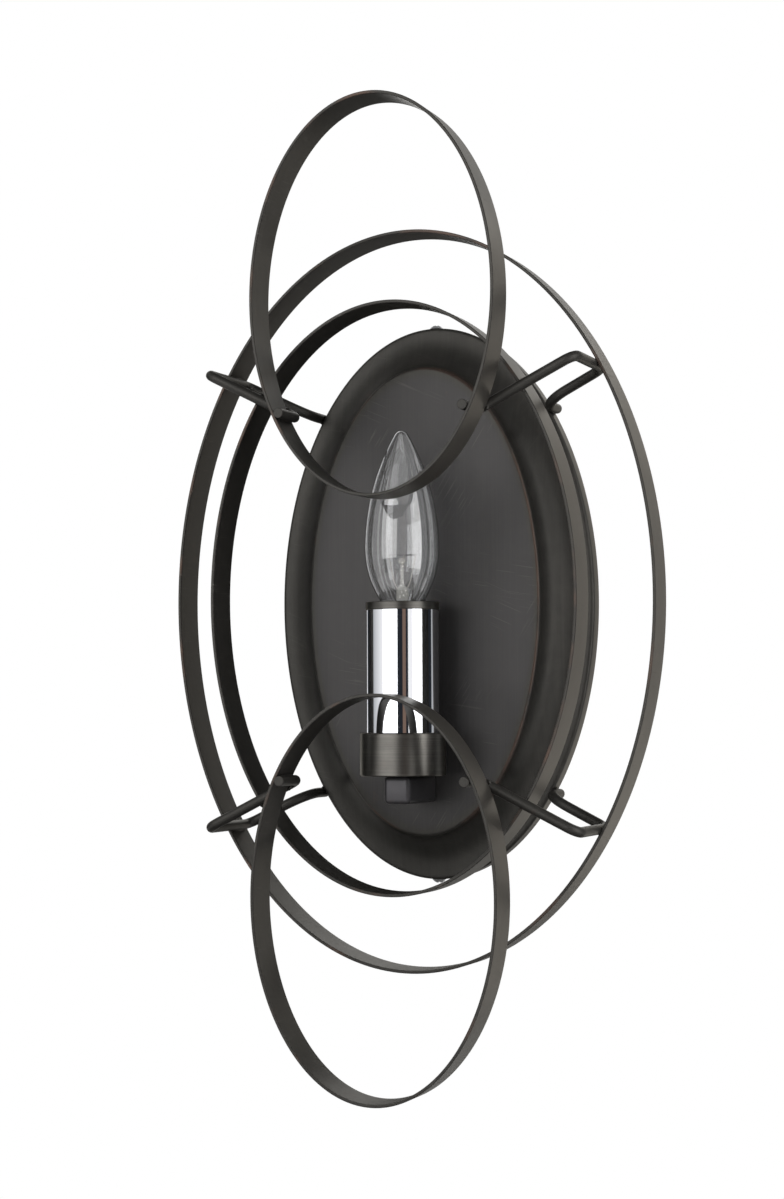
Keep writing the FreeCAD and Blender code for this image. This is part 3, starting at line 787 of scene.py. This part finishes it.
def rod_beads(corners):
    """The weld beads of the upper right rod: place, direction, half length and thickness of each."""
    size = sizes()
    bar = size.bar_thickness
    rod = size.rod_radius
    beside = rod * 0.72
    across_bar = rod * 0.75
    half_share = 0.36
    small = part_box("upper_hoop")
    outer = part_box("outer_hoop")
    beads = []
    for corner, low, high, oval in (
        (corners[0], small[0].y, small[1].y, bar_oval("upper_hoop", bar)),
        (corners[2], outer[0].y, min(outer[1].y, corners[3].y), bar_oval("outer_hoop", bar)),
        (corners[5], -size.skirt_depth, corners[5].y, bar_oval("canopy", 0)),
    ):
        centre = Vector((corner.x, (low + high) / 2, corner.z))
        spot, normal = nearest_on_oval(oval, centre)
        toward = (spot - centre).normalized()
        for side in (1, -1):
            along = normal.cross(y_axis) * side
            place = centre + toward * beside + along * beside
            beads.append((place, y_axis, (high - low) * half_share, size.bead_radius))
    for node, level in (("inner_hoop", corners[1].y + rod), ("upper_hoop", corners[1].y - rod)):
        spot, along = crossing(bar_oval(node, bar / 2), corners[1], corners[2])
        run = (corners[2] - corners[1]).normalized()
        for side in (1, -1):
            place = Vector((spot.x, level, spot.z)) + run.cross(y_axis).normalized() * side * across_bar
            place.y += (corners[1].y - level) * 0.3
            beads.append((place, along, size.bead_radius * 1.5, size.bead_radius))
    return beads


def first_bead():
    """One rippled weld bead of unit size, long along Z."""
    deselect()
    bpy.ops.mesh.primitive_uv_sphere_add(segments=14, ring_count=16, radius=1, location=origin)
    bead = bpy.context.object
    edit_all()
    bpy.ops.transform.vertex_random(offset=0.16, uniform=0.4, normal=0.6, seed=7)
    bpy.ops.mesh.vertices_smooth(factor=0.5, repeat=1)
    return end_piece(bead, 60)


class LAMP_OT_rods(Operator):
    """Adds the four bent rods and the weld beads that hold the hoops on them"""
    bl_idname = "wall_lamp.rods"
    bl_label = "Bent rods"

    def execute(self, context):
        size = sizes()
        material = rod_finish()
        corners = rod_corners()
        bends = (size.tight_bend, size.corner_bend, size.corner_bend, size.gentle_bend)
        bead = first_bead()
        for side, across in ((1, "right"), (-1, "left")):
            for level, height in ((1, "upper"), (-1, "lower")):
                name = height.title() + across.title()
                rod = bend_rod("Rod" + name, mirrored(corners, side, level), bends, size.rod_radius)
                round_edges(rod, size.rod_end)
                finish_piece(rod, "fixture", "bronze", material, "bracket_" + height + "_" + across)
                self.add_welds("Welds" + name, bead, rod_beads(corners), side, level, material)
        bpy.data.objects.remove(bead)
        return {"FINISHED"}

    def add_welds(self, name, bead, beads, side, level, material):
        """Copies the bead to each contact of one rod and joins the copies."""
        copies = []
        for place, along, half_length, radius in beads:
            place, along = mirrored([place, along], side, level)
            copy = bead.copy()
            copy.data = bead.data.copy()
            copy.name = name
            bpy.context.collection.objects.link(copy)
            scale = Matrix.Diagonal((radius, radius, half_length, 1))
            turn = along.to_track_quat("Z", "Y").to_matrix().to_4x4()
            copy.data.transform(Matrix.Translation(place) @ turn @ scale)
            copies.append(copy)
        finish_piece(join(copies), "fixture", "bronze", material)


class LAMP_OT_canopy(Operator):
    """Adds the pressed oval canopy"""
    bl_idname = "wall_lamp.canopy"
    bl_label = "Canopy"

    def execute(self, context):
        size = sizes()
        half = half_size("canopy")
        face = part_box("canopy")[0].y
        lip_in = size.rim_radius + size.cove_run + size.lip_radius
        outer = self.add_sheet("Canopy", size, half, face, lip_in, 0.0)
        inside = self.add_sheet("CanopyInside", size, half, face, lip_in, size.canopy_wall)
        join([outer, inside])
        bpy.ops.object.mode_set(mode="EDIT")
        end_piece(outer, 35)
        brushed_up = (1700, 30, 16)
        material = bronze_finish("Canopy bronze", brushed_up, raised=(half.x - lip_in, half.z - lip_in))
        finish_piece(outer, "fixture", "bronze", material, "canopy")
        return {"FINISHED"}

    def add_sheet(self, name, size, half, face, lip_in, sheet):
        """The canopy's front, or its back a sheet behind it. The front starts with the edge at the wall."""
        points = self.profile(size, -face, lip_in, sheet)
        if not sheet:
            points.insert(0, (size.canopy_wall, 0))
        stations = [(half.x - inset, half.z - inset, -front) for inset, front in points]
        steps = 8
        for step in range(1, steps):
            left = 1 - step / steps
            stations.append(((half.x - lip_in) * left, (half.z - lip_in) * left, face + sheet))
        stations.append((0, 0, face + sheet))
        return ring_stack(name, stations, origin, True, size.segments, 35)

    def profile(self, size, depth, lip_in, sheet):
        """(inset, distance from the wall) points from the wall over rim and cove to the lip."""
        rise = depth - size.skirt_depth - size.lip_radius
        cove_top = size.skirt_depth + rise
        rim = size.rim_radius - sheet
        lip = size.lip_radius - sheet
        points = [(sheet, 0)]
        points += arc((size.rim_radius, size.skirt_depth - size.rim_radius), rim, rim, 180, 90, 5)
        points += arc((size.rim_radius, cove_top), size.cove_run + sheet, rise + sheet, -90, 0, 22)[1:]
        points += arc((lip_in, cove_top), lip, lip, 180, 90, 5)[1:]
        return points


class LAMP_OT_arm(Operator):
    """Adds the square arm, the cup, the bright sleeve and its cap"""
    bl_idname = "wall_lamp.arm"
    bl_label = "Arm, cup and sleeve"

    def execute(self, context):
        size = sizes()
        axis = middle("cup")
        self.add_arm(size)
        self.add_cup(size, axis)
        self.add_sleeve(size, axis)
        self.add_cap(size, axis)
        return {"FINISHED"}

    def add_arm(self, size):
        low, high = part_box("arm")
        corner = size.arm_corner
        arm = add_cube((low + high) / 2, high - low)
        arm.name = "Arm"
        for edge in arm.data.edges:
            start, end = (arm.data.vertices[index].co for index in edge.vertices)
            edge.select = abs(start.y - end.y) > corner or start.y < low.y + corner
        bpy.ops.object.mode_set(mode="EDIT")
        bpy.ops.mesh.bevel(offset=corner, segments=5, affect="EDGES")
        end_piece(arm, 35)
        material = bronze_finish("Arm bronze", (240, 40, 240), tone=1.6, cool=0.95, metal=0.6)
        finish_piece(arm, "fixture", "bronze", material, "arm")

    def add_cup(self, size, axis):
        low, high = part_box("cup")
        radius = half_size("cup").x
        hole = size.cup_bore
        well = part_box("sleeve")[1].x + size.cup_play
        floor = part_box("sleeve")[0].z
        profile = [(hole, low.z), (radius, low.z), (radius, high.z), (well, high.z)]
        profile += [(well, floor), (hole, floor), (hole, low.z)]
        cup = turned("Cup", profile, axis)
        round_edges(cup, size.cup_edge, 3)
        material = bronze_finish("Cup bronze", (24, 24, 3600), tone=2.7, metal=0.95)
        finish_piece(cup, "fixture", "bronze", material, "cup")

    def add_sleeve(self, size, axis):
        low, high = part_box("sleeve")
        radius = half_size("sleeve").x
        inner = radius - size.sleeve_wall
        profile = [(radius, low.z), (radius, high.z), (inner, high.z), (inner, low.z), (radius, low.z)]
        sleeve = turned("Sleeve", profile, axis, 160)
        material = plate_finish("Sleeve chrome", "chrome", 0.03, 0.04, (40, 40, 900))
        finish_piece(sleeve, "fixture", "chrome", material, "sleeve")

    def add_cap(self, size, axis):
        low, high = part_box("sleeve_cap")
        radius = half_size("sleeve_cap").x
        hole = size.cap_hole
        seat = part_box("sleeve")[1].z
        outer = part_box("sleeve")[1].x - size.sleeve_wall - size.cap_play
        inner = outer - size.cap_skirt
        profile = [(outer, low.z), (outer, seat), (radius, seat), (radius, high.z)]
        profile += [(hole, high.z), (hole, seat), (inner, seat), (inner, low.z), (outer, low.z)]
        cap = turned("SleeveCap", profile, axis)
        round_edges(cap, size.cap_edge, 3)
        material = bronze_finish("Cap bronze", (24, 24, 1900), tone=2.1, metal=0.9)
        finish_piece(cap, "fixture", "bronze", material, "sleeve_cap")


def glass_profile(inset):
    """(radius, height) points of the torpedo, drawn in by an inset, from the neck up to the tip."""
    size = sizes()
    low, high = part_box("bulb_glass")
    belly = half_size("bulb_glass").x
    tip_height = high.z - size.glass_tip
    crown_height = tip_height - size.glass_belly
    crown = (crown_height**2 / (belly - size.glass_tip) + belly + size.glass_tip) / 2
    crown_middle = (belly - crown, size.glass_belly)
    shoulder_middle = (belly - size.glass_shoulder, size.glass_belly)
    bend_across = size.glass_neck + size.glass_bend
    reach = size.glass_shoulder + size.glass_bend
    across = bend_across - shoulder_middle[0]
    drop = math.sqrt(reach**2 - across**2)
    bend_middle = (bend_across, size.glass_belly - drop)
    lean = math.degrees(math.atan2(drop, across))
    tip_turn = math.degrees(math.atan2(crown_height, -crown_middle[0]))
    bend = size.glass_bend + inset
    shoulder = size.glass_shoulder - inset
    tip = size.glass_tip - inset
    points = [(size.glass_neck - inset, low.z)]
    points += arc(bend_middle, bend, bend, 180, 180 - lean, 8)
    points += arc(shoulder_middle, shoulder, shoulder, -lean, 0, 12)[1:]
    points += arc(crown_middle, crown - inset, crown - inset, 0, tip_turn, 24)[1:]
    points += arc((0, tip_height), tip, tip, tip_turn, 90, 8)[1:-1]
    points.append((0, high.z - inset))
    return points


def cut_thread(piece, axis, radius, depth, pitch, low, high):
    """Presses a screw thread into an upright round surface by drawing its points in along a helix."""
    fade = pitch / 2
    for vertex in piece.data.vertices:
        away = vertex.co - axis
        away.z = 0
        on_surface = away.length > radius * 0.98
        if not on_surface or not low < vertex.co.z < high:
            continue
        ends = min(1, (vertex.co.z - low) / fade, (high - vertex.co.z) / fade)
        turn = 2 * math.pi * vertex.co.z / pitch - math.atan2(away.y, away.x)
        inward = depth * ends * (1 - math.cos(turn)) / 2
        vertex.co -= away.normalized() * inward


def stepped(radius, low, high, steps):
    """Profile points of a straight wall, close enough together to take a thread."""
    return [(radius, low + (high - low) * step / steps) for step in range(steps + 1)]


class LAMP_OT_bulb(Operator):
    """Adds the bulb's glass, its mount, its threaded base and its coiled filament"""
    bl_idname = "wall_lamp.bulb"
    bl_label = "Bulb"

    def execute(self, context):
        size = sizes()
        axis = middle("bulb_base")
        self.add_glass(size, axis)
        self.add_mount(size, axis)
        self.add_base(size, axis)
        self.add_filament(size)
        return {"FINISHED"}

    def add_glass(self, size, axis):
        outside = turned("BulbGlass", glass_profile(0.0), axis, 96, 60)
        inside = turned("BulbGlassInside", glass_profile(size.glass_wall), axis, 96, 60)
        edit_all()
        bpy.ops.mesh.flip_normals()
        bpy.ops.object.mode_set(mode="OBJECT")
        finish_piece(join([outside, inside]), "bulb", "bulb_glass", glass_finish(), "bulb_glass")

    def add_mount(self, size, axis):
        """The glass mount: flared foot, flat pinch that holds the wires, thin rod and button."""
        low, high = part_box("bulb_stem")
        foot = half_size("bulb_stem").x
        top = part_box("sleeve")[1].z + size.pinch_height
        rod = size.mount_rod
        button = size.mount_button
        button_middle = high.z - 2 * mm
        inner_foot = foot * 0.86
        hole = 0.1 * mm
        stations = [(hole, hole, low.z), (foot, foot, low.z), (inner_foot, inner_foot, low.z + 0.7 * mm)]
        # Half width and half depth as shares of the column, and the height over the foot or the pinch's top
        for across, deep, level in (
            (1.1, 1.1, low.z + 1.9 * mm),
            (1, 1, low.z + 3.6 * mm),
            (1, 0.95, top - 9 * mm),
            (1, 0.66, top - 6.2 * mm),
            (1.02, 0.5, top - 4.4 * mm),
            (1.02, 0.5, top - 1.2 * mm),
            (0.85, 0.45, top),
            (0.5, 0.38, top + 0.9 * mm),
        ):
            stations.append((size.mount_column * across, size.mount_column * deep, level))
        stations += [(rod, rod, top + 2.2 * mm), (rod, rod, button_middle - button * 1.2)]
        stations += [(r, r, z) for r, z in arc((0, button_middle), button, button, -58, 84, 10)]
        stations.append((0, 0, button_middle + button))
        mount = close_ends(ring_stack("BulbMount", stations, axis, False, 48, 60), 60)
        pinch = top - 7 * mm
        finish_piece(mount, "bulb", "mount_glass", mount_finish(pinch), "bulb_stem")

    def add_base(self, size, axis):
        low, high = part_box("bulb_base")
        radius = half_size("bulb_base").x
        inner = radius - size.base_wall
        hole = gap = 0.1 * mm
        foot = 0.9 * mm
        plain = 1.2 * mm
        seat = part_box("bulb_stem")[0].z - gap
        collar = seat - plain
        profile = [(hole, low.z), (radius - foot, low.z), (radius - foot / 3, low.z + foot / 3)]
        profile += stepped(radius, low.z + foot, collar, 44)
        profile += [(radius, high.z), (inner, high.z), (inner, seat), (hole, seat), (hole, low.z)]
        base = turned("BulbBase", profile, axis, 72)
        cut_thread(base, axis, radius, size.base_thread, size.base_pitch, low.z + plain, collar)
        bpy.ops.object.shade_smooth_by_angle(angle=math.radians(50))
        material = plate_finish("Base brass", "brass", 0.22, 0.12, (60, 60, 900))
        finish_piece(base, "bulb", "brass", material, "bulb_base")

    def add_filament(self, size):
        """A wire ring wound into a coil, then bent to the bow between the two wires."""
        low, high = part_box("bulb_filament")
        turns = size.coil_turns
        start = Vector((-size.coil_length / 2, 0, size.coil_radius))
        coil = begin_ring("BulbFilament", size.wire_radius, size.wire_radius, start, True, 6)
        bpy.ops.object.mode_set(mode="OBJECT")
        pitch = size.coil_length / turns
        steps = 10
        apply_modifier(
            coil, "SCREW", axis="X", steps=steps, render_steps=steps, iterations=turns, screw_offset=pitch
        )
        apply_modifier(coil, "SIMPLE_DEFORM", deform_method="BEND", deform_axis="Z", angle=-size.coil_bow)
        edit_all()
        place = Vector(((low.x + high.x) / 2, high.y - size.coil_radius, (low.z + high.z) / 2))
        bpy.ops.transform.translate(value=place)
        close_ends(coil, 60)
        material = plate_finish("Tungsten", "tungsten", 0.35, 0.1, (500, 500, 500))
        finish_piece(coil, "bulb", "tungsten", material, "bulb_filament")


class LAMP_OT_screws(Operator):
    """Adds the two bright cross-head screws through the canopy's skirt"""
    bl_idname = "wall_lamp.screws"
    bl_label = "Side screws"

    def execute(self, context):
        size = sizes()
        material = plate_finish("Screw nickel", "nickel", 0.36, 0.1, (300, 300, 300))
        self.add_screw("SideScrewTop", "side_screw_top", "top_screw", size, material)
        self.add_screw("SideScrewBottom", "side_screw_bottom", "bottom_screw", size, material, True)
        return {"FINISHED"}

    def add_screw(self, name, node, body, size, material, upside_down=False):
        """A dome head, a cross recess and a threaded shank, made head upwards, then mirrored if need be."""
        low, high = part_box(node)
        axis = middle(node)
        head = half_size(node).x
        rise = size.screw_dome
        seat = high.z - rise
        shank = size.screw_shank
        dome = (head**2 + rise**2) / (2 * rise)
        edge = math.degrees(math.acos(head / dome))
        tip = 0.5 * mm
        rim = 0.25 * mm
        thread = (low.z + tip, seat - 0.3 * mm)
        profile = [(tip / 5, low.z), (shank - tip, low.z), (shank - tip / 5, low.z + tip * 0.8)]
        profile += stepped(shank, *thread, 88)
        profile += [(shank, seat), (head - rim, seat), (head - rim / 5, seat + rim * 0.32)]
        profile += arc((0, high.z - dome), dome, dome, edge + 2, 84, 10) + [(0, high.z)]
        screw = close_ends(turned(name, profile, axis, 40), 40)
        cut_thread(screw, axis, shank, size.screw_thread, size.screw_pitch, *thread)
        for turn in (0, math.radians(90)):
            span = (size.cross_length, size.cross_width, rise)
            slot = add_cube((axis.x, axis.y, high.z), span, turn + size.cross_turn)
            apply_modifier(screw, "BOOLEAN", operation="DIFFERENCE", object=slot)
            bpy.data.objects.remove(slot)
        bpy.ops.object.shade_smooth_by_angle(angle=math.radians(40))
        if upside_down:
            edit_all()
            bpy.ops.transform.resize(value=(1, 1, -1), center_override=axis)
            end_piece(screw, 40)
        finish_piece(screw, body, "zinc_steel", material, node)


class LAMP_OT_hidden(Operator):
    """Gives the solids that stay their finishes: strap, nuts, tubes, holder, wires and the bulb's parts"""
    bl_idname = "wall_lamp.hidden"
    bl_label = "Hidden parts"

    def execute(self, context):
        on_arm = ("arm_nipple", "arm_washer", "arm_nut")
        dress(zinc_finish(), "wall_strap", *on_arm, "cup_nipple", "cup_nut", "holder_leg")
        even = (300, 300, 300)
        fine = (500, 500, 500)
        mount_wires = ("bulb_wire_right", "bulb_wire_left", "bulb_support")
        # Material, colour, roughness, smear, grain and the solids that wear it
        for name, key, rough, smear, grain, nodes in (
            ("Stamped brass", "brass", 0.25, 0.12, (40, 40, 900), ("socket_shell", "socket_contact")),
            ("Green plate", "earth_green", 0.3, 0.1, even, ("ground_screw",)),
            ("Copper wire", "copper_wire", 0.25, 0.2, even, ("ground_wire",)),
            ("Solder", "zinc", 0.35, 0.2, fine, ("bulb_contact",)),
            ("Mount wire", "mount_wire", 0.3, 0.1, fine, mount_wires),
        ):
            dress(plate_finish(name, key, rough, smear, grain), *nodes)
        dress(jacket_finish("Holder moulding", "holder", 0.5), "socket_body")
        dress(jacket_finish("Black insulator", "jacket_black", 0.15), "bulb_insulator")
        dress(jacket_finish("Black jacket", "jacket_black"), "lead_live")
        dress(jacket_finish("White jacket", "jacket_white"), "lead_neutral")
        return {"FINISHED"}


def direction(turn, lift):
    """The unit vector from the lamp towards a camera or a light."""
    flat = math.cos(lift)
    return Vector((math.sin(turn) * flat, -math.cos(turn) * flat, math.sin(lift)))


class LAMP_OT_stage(Operator):
    """Adds the camera, the lights, the white room and the pale floor"""
    bl_idname = "wall_lamp.stage"
    bl_label = "Stage"

    def execute(self, context):
        studio = context.scene.wall_lamp_studio
        self.add_camera(context, studio)
        self.add_room(context, studio)
        self.add_floor(studio)
        self.add_lights()
        self.add_cards(studio)
        context.scene.view_settings.view_transform = "Standard"
        return {"FINISHED"}

    def add_camera(self, context, studio):
        bpy.ops.object.camera_add()
        camera = context.object
        camera.data.lens = studio.focal_length
        camera.data.sensor_width = 36
        camera.data.sensor_fit = "HORIZONTAL"
        camera.data.clip_start = 0.01
        back = direction(studio.camera_angle, studio.camera_lift)
        place = Vector(studio.aim) + back * studio.camera_distance
        turn = (-back).to_track_quat("-Z", "Y").to_matrix().to_4x4()
        roll = Matrix.Rotation(studio.camera_roll, 4, "Z")
        camera.matrix_world = Matrix.Translation(place) @ turn @ roll
        context.scene.camera = camera

    def add_room(self, context, studio):
        """A world that shows plain white and lights dull surfaces less."""
        world = bpy.data.worlds.new("White room")
        world.use_nodes = True
        context.scene.world = world
        room = Nodes(world.node_tree)
        background = room.tree.nodes["Background"].inputs
        inputs = {"Value": room.seen_clearly(), "To Min": studio.world_light, "To Max": 1.0}
        strength = room.node("ShaderNodeMapRange", inputs=inputs)
        room.feed(background["Color"], (1, 1, 1))
        room.feed(background["Strength"], strength.outputs["Result"])

    def add_floor(self, studio):
        """A pale floor that keeps the lamp's shadow and fades into the white room far out."""
        deselect()
        bpy.ops.mesh.primitive_plane_add(size=60, location=(0, 0, -studio.floor_drop))
        floor = bpy.context.object
        floor.name = "Floor"
        finish = Finish("Pale floor", Roughness=0.9)
        finish.set("Base Color", tone_of("backdrop"))
        seen = finish.seen_clearly()
        across = finish.coordinate("X")
        along = finish.coordinate("Y")
        far = 1 - ((across * across + along * along) ** 0.5).below(1.5, 0.8)
        dark, glow, white = (
            finish.node("ShaderNodeEmission", inputs={"Strength": strength}).outputs[0]
            for strength in (0, studio.floor_glow, 1)
        )
        lift = finish.node("ShaderNodeMixShader", inputs={0: seen, 1: dark, 2: glow})
        near = finish.node("ShaderNodeAddShader", inputs={0: finish.shader.outputs[0], 1: lift.outputs[0]})
        whole = finish.node("ShaderNodeMixShader", inputs={0: seen * far, 1: near.outputs[0], 2: white})
        finish.feed(finish.tree.nodes["Material Output"].inputs["Surface"], whole.outputs[0])
        floor.data.materials.append(finish.material)

    def add_lights(self):
        """Soft square lamps that look at the middle of the lamp."""
        # Name, turn and lift in degrees, distance, width and height in metres, watts, colour
        for name, turn, lift, distance, span, power, tint in (
            ("Left window", -20, 11, 1.6, (1.4, 1.1), 8, (1, 1, 1)),
            ("Right window", 66, 8, 1.5, (0.9, 1.6), 8, (1, 1, 1)),
            ("Top window", 0, 80, 1.6, (1.4, 1.4), 5.5, (1, 1, 1)),
            ("Rear light", 156, 0, 0.45, (0.12, 0.7), 0.35, (1, 0.95, 0.88)),
        ):
            back = direction(math.radians(turn), math.radians(lift))
            bpy.ops.object.light_add(type="AREA", location=back * distance)
            panel = bpy.context.object
            panel.name = name
            panel.data.shape = "RECTANGLE"
            panel.data.size, panel.data.size_y = span
            panel.data.energy = power
            panel.data.color = tint
            panel.rotation_euler = (-back).to_track_quat("-Z", "Y").to_euler()

    def add_cards(self, studio):
        """Cards round, over and under the lamp, which only its shine shows."""
        keys = ("card_dark", "card_grey", "card_white", "card_warm", "card_behind")
        dark, grey, white, warm, behind = (tone_of(key) for key in keys)
        # Name, first and last direction in degrees, distance, level, height, tone at each edge, glow
        for name, start, end, distance, level, height, first, second, glow in (
            ("CameraCard", 3, 36, 1.7, 1.0, 4.4, dark, dark, 1),
            ("WarmCard", 19, 29, 1.6, 0, 2.4, warm, warm, 1),
            ("RightCard", 94, 121, 1.5, 0, 2.0, dark, dark, 1),
            ("RightGreyCard", 121, 143, 1.5, 0, 2.0, grey, grey, 1),
            ("RearCard", 143, 213, 1.2, -0.35, 1.7, behind, behind, 0.6),
            ("RearHighCard", 143, 213, 1.2, 0.85, 0.7, white, white, 1),
            ("RearLeftCard", 179, 213, 1.15, 0.34, 0.28, white, white, 2.6),
            ("LeftCard", -123, -83, 1.5, 0, 2.0, dark, dark, 1),
            ("LeftGreyCard", -83, -45, 1.5, 0, 2.0, grey, white, 1),
            ("LeftBrightCard", -42, 2, 1.45, 0.09, 0.5, white, white, 2.6),
            ("RightBrightCard", 56, 92, 1.4, 0.1, 1.2, white, white, 3.0),
            ("LowCard", -50, 14, 1.4, -0.66, 0.9, grey, grey, 0.3),
        ):
            back = direction(math.radians((start + end) / 2), 0)
            width = 2 * distance * math.tan(math.radians((end - start) / 2))
            turn = (-back).to_track_quat("Z", "Y").to_euler()
            place = back * distance + z_axis * level
            self.place_card(name, place, turn, (width, height), first, second, glow)
        above_floor = 0.02 - studio.floor_drop
        self.place_card("TopCard", (0, 0, 1.2), (0, 0, 0), (2.6, 2.2), behind, behind, 1)
        self.place_card("BottomCard", (0, 0, above_floor), (0, 0, 0), (1.6, 1.2), behind, behind, 1)

    def place_card(self, name, place, turn, span, first, second, glow):
        """A card that only shine shows: the camera, dull surfaces, glass and shadows pass it by."""
        deselect()
        bpy.ops.mesh.primitive_plane_add(size=1, location=place, rotation=turn)
        card = bpy.context.object
        card.name = name
        card.scale = (*span, 1)
        finish = Finish(name, Roughness=1.0, Specular_IOR_Level=0.0, Emission_Strength=glow)
        finish.set("Base Color", (0, 0, 0))
        finish.set("Emission Color", finish.blend(0.5 - finish.coordinate("X"), first, second))
        card.data.materials.append(finish.material)
        card.visible_camera = False
        card.visible_diffuse = False
        card.visible_transmission = False
        card.visible_shadow = False


class LAMP_PT_panel(Panel):
    """Lists the lamp's pieces, sizes, colours and studio"""
    bl_idname = "LAMP_PT_panel"
    bl_label = "Wall Lamp"
    bl_space_type = "VIEW_3D"
    bl_region_type = "UI"
    bl_category = "Wall Lamp"

    def draw(self, context):
        layout = self.layout
        for operator in operators:
            layout.operator(operator.bl_idname)
        scene = context.scene
        for group in (scene.wall_lamp_sizes, scene.wall_lamp_colours, scene.wall_lamp_studio):
            column = layout.column(align=True)
            for key in group.__annotations__:
                column.prop(group, key)


operators = (
    LAMP_OT_hoops,
    LAMP_OT_rods,
    LAMP_OT_canopy,
    LAMP_OT_arm,
    LAMP_OT_bulb,
    LAMP_OT_screws,
    LAMP_OT_hidden,
    LAMP_OT_stage,
)
groups = (LampSizes, LampColours, LampStudio)


def register():
    for item in (*groups, *operators, LAMP_PT_panel):
        bpy.utils.register_class(item)
    bpy.types.Scene.wall_lamp_sizes = PointerProperty(type=LampSizes)
    bpy.types.Scene.wall_lamp_colours = PointerProperty(type=LampColours)
    bpy.types.Scene.wall_lamp_studio = PointerProperty(type=LampStudio)


def unregister():
    del bpy.types.Scene.wall_lamp_studio
    del bpy.types.Scene.wall_lamp_colours
    del bpy.types.Scene.wall_lamp_sizes
    for item in reversed((*groups, *operators, LAMP_PT_panel)):
        bpy.utils.unregister_class(item)


def main():
    register()
    bpy.ops.wall_lamp.hoops()
    bpy.ops.wall_lamp.rods()
    bpy.ops.wall_lamp.canopy()
    bpy.ops.wall_lamp.arm()
    bpy.ops.wall_lamp.bulb()
    bpy.ops.wall_lamp.screws()
    bpy.ops.wall_lamp.hidden()
    bpy.ops.wall_lamp.stage()


if __name__ == "__main__":
    main()
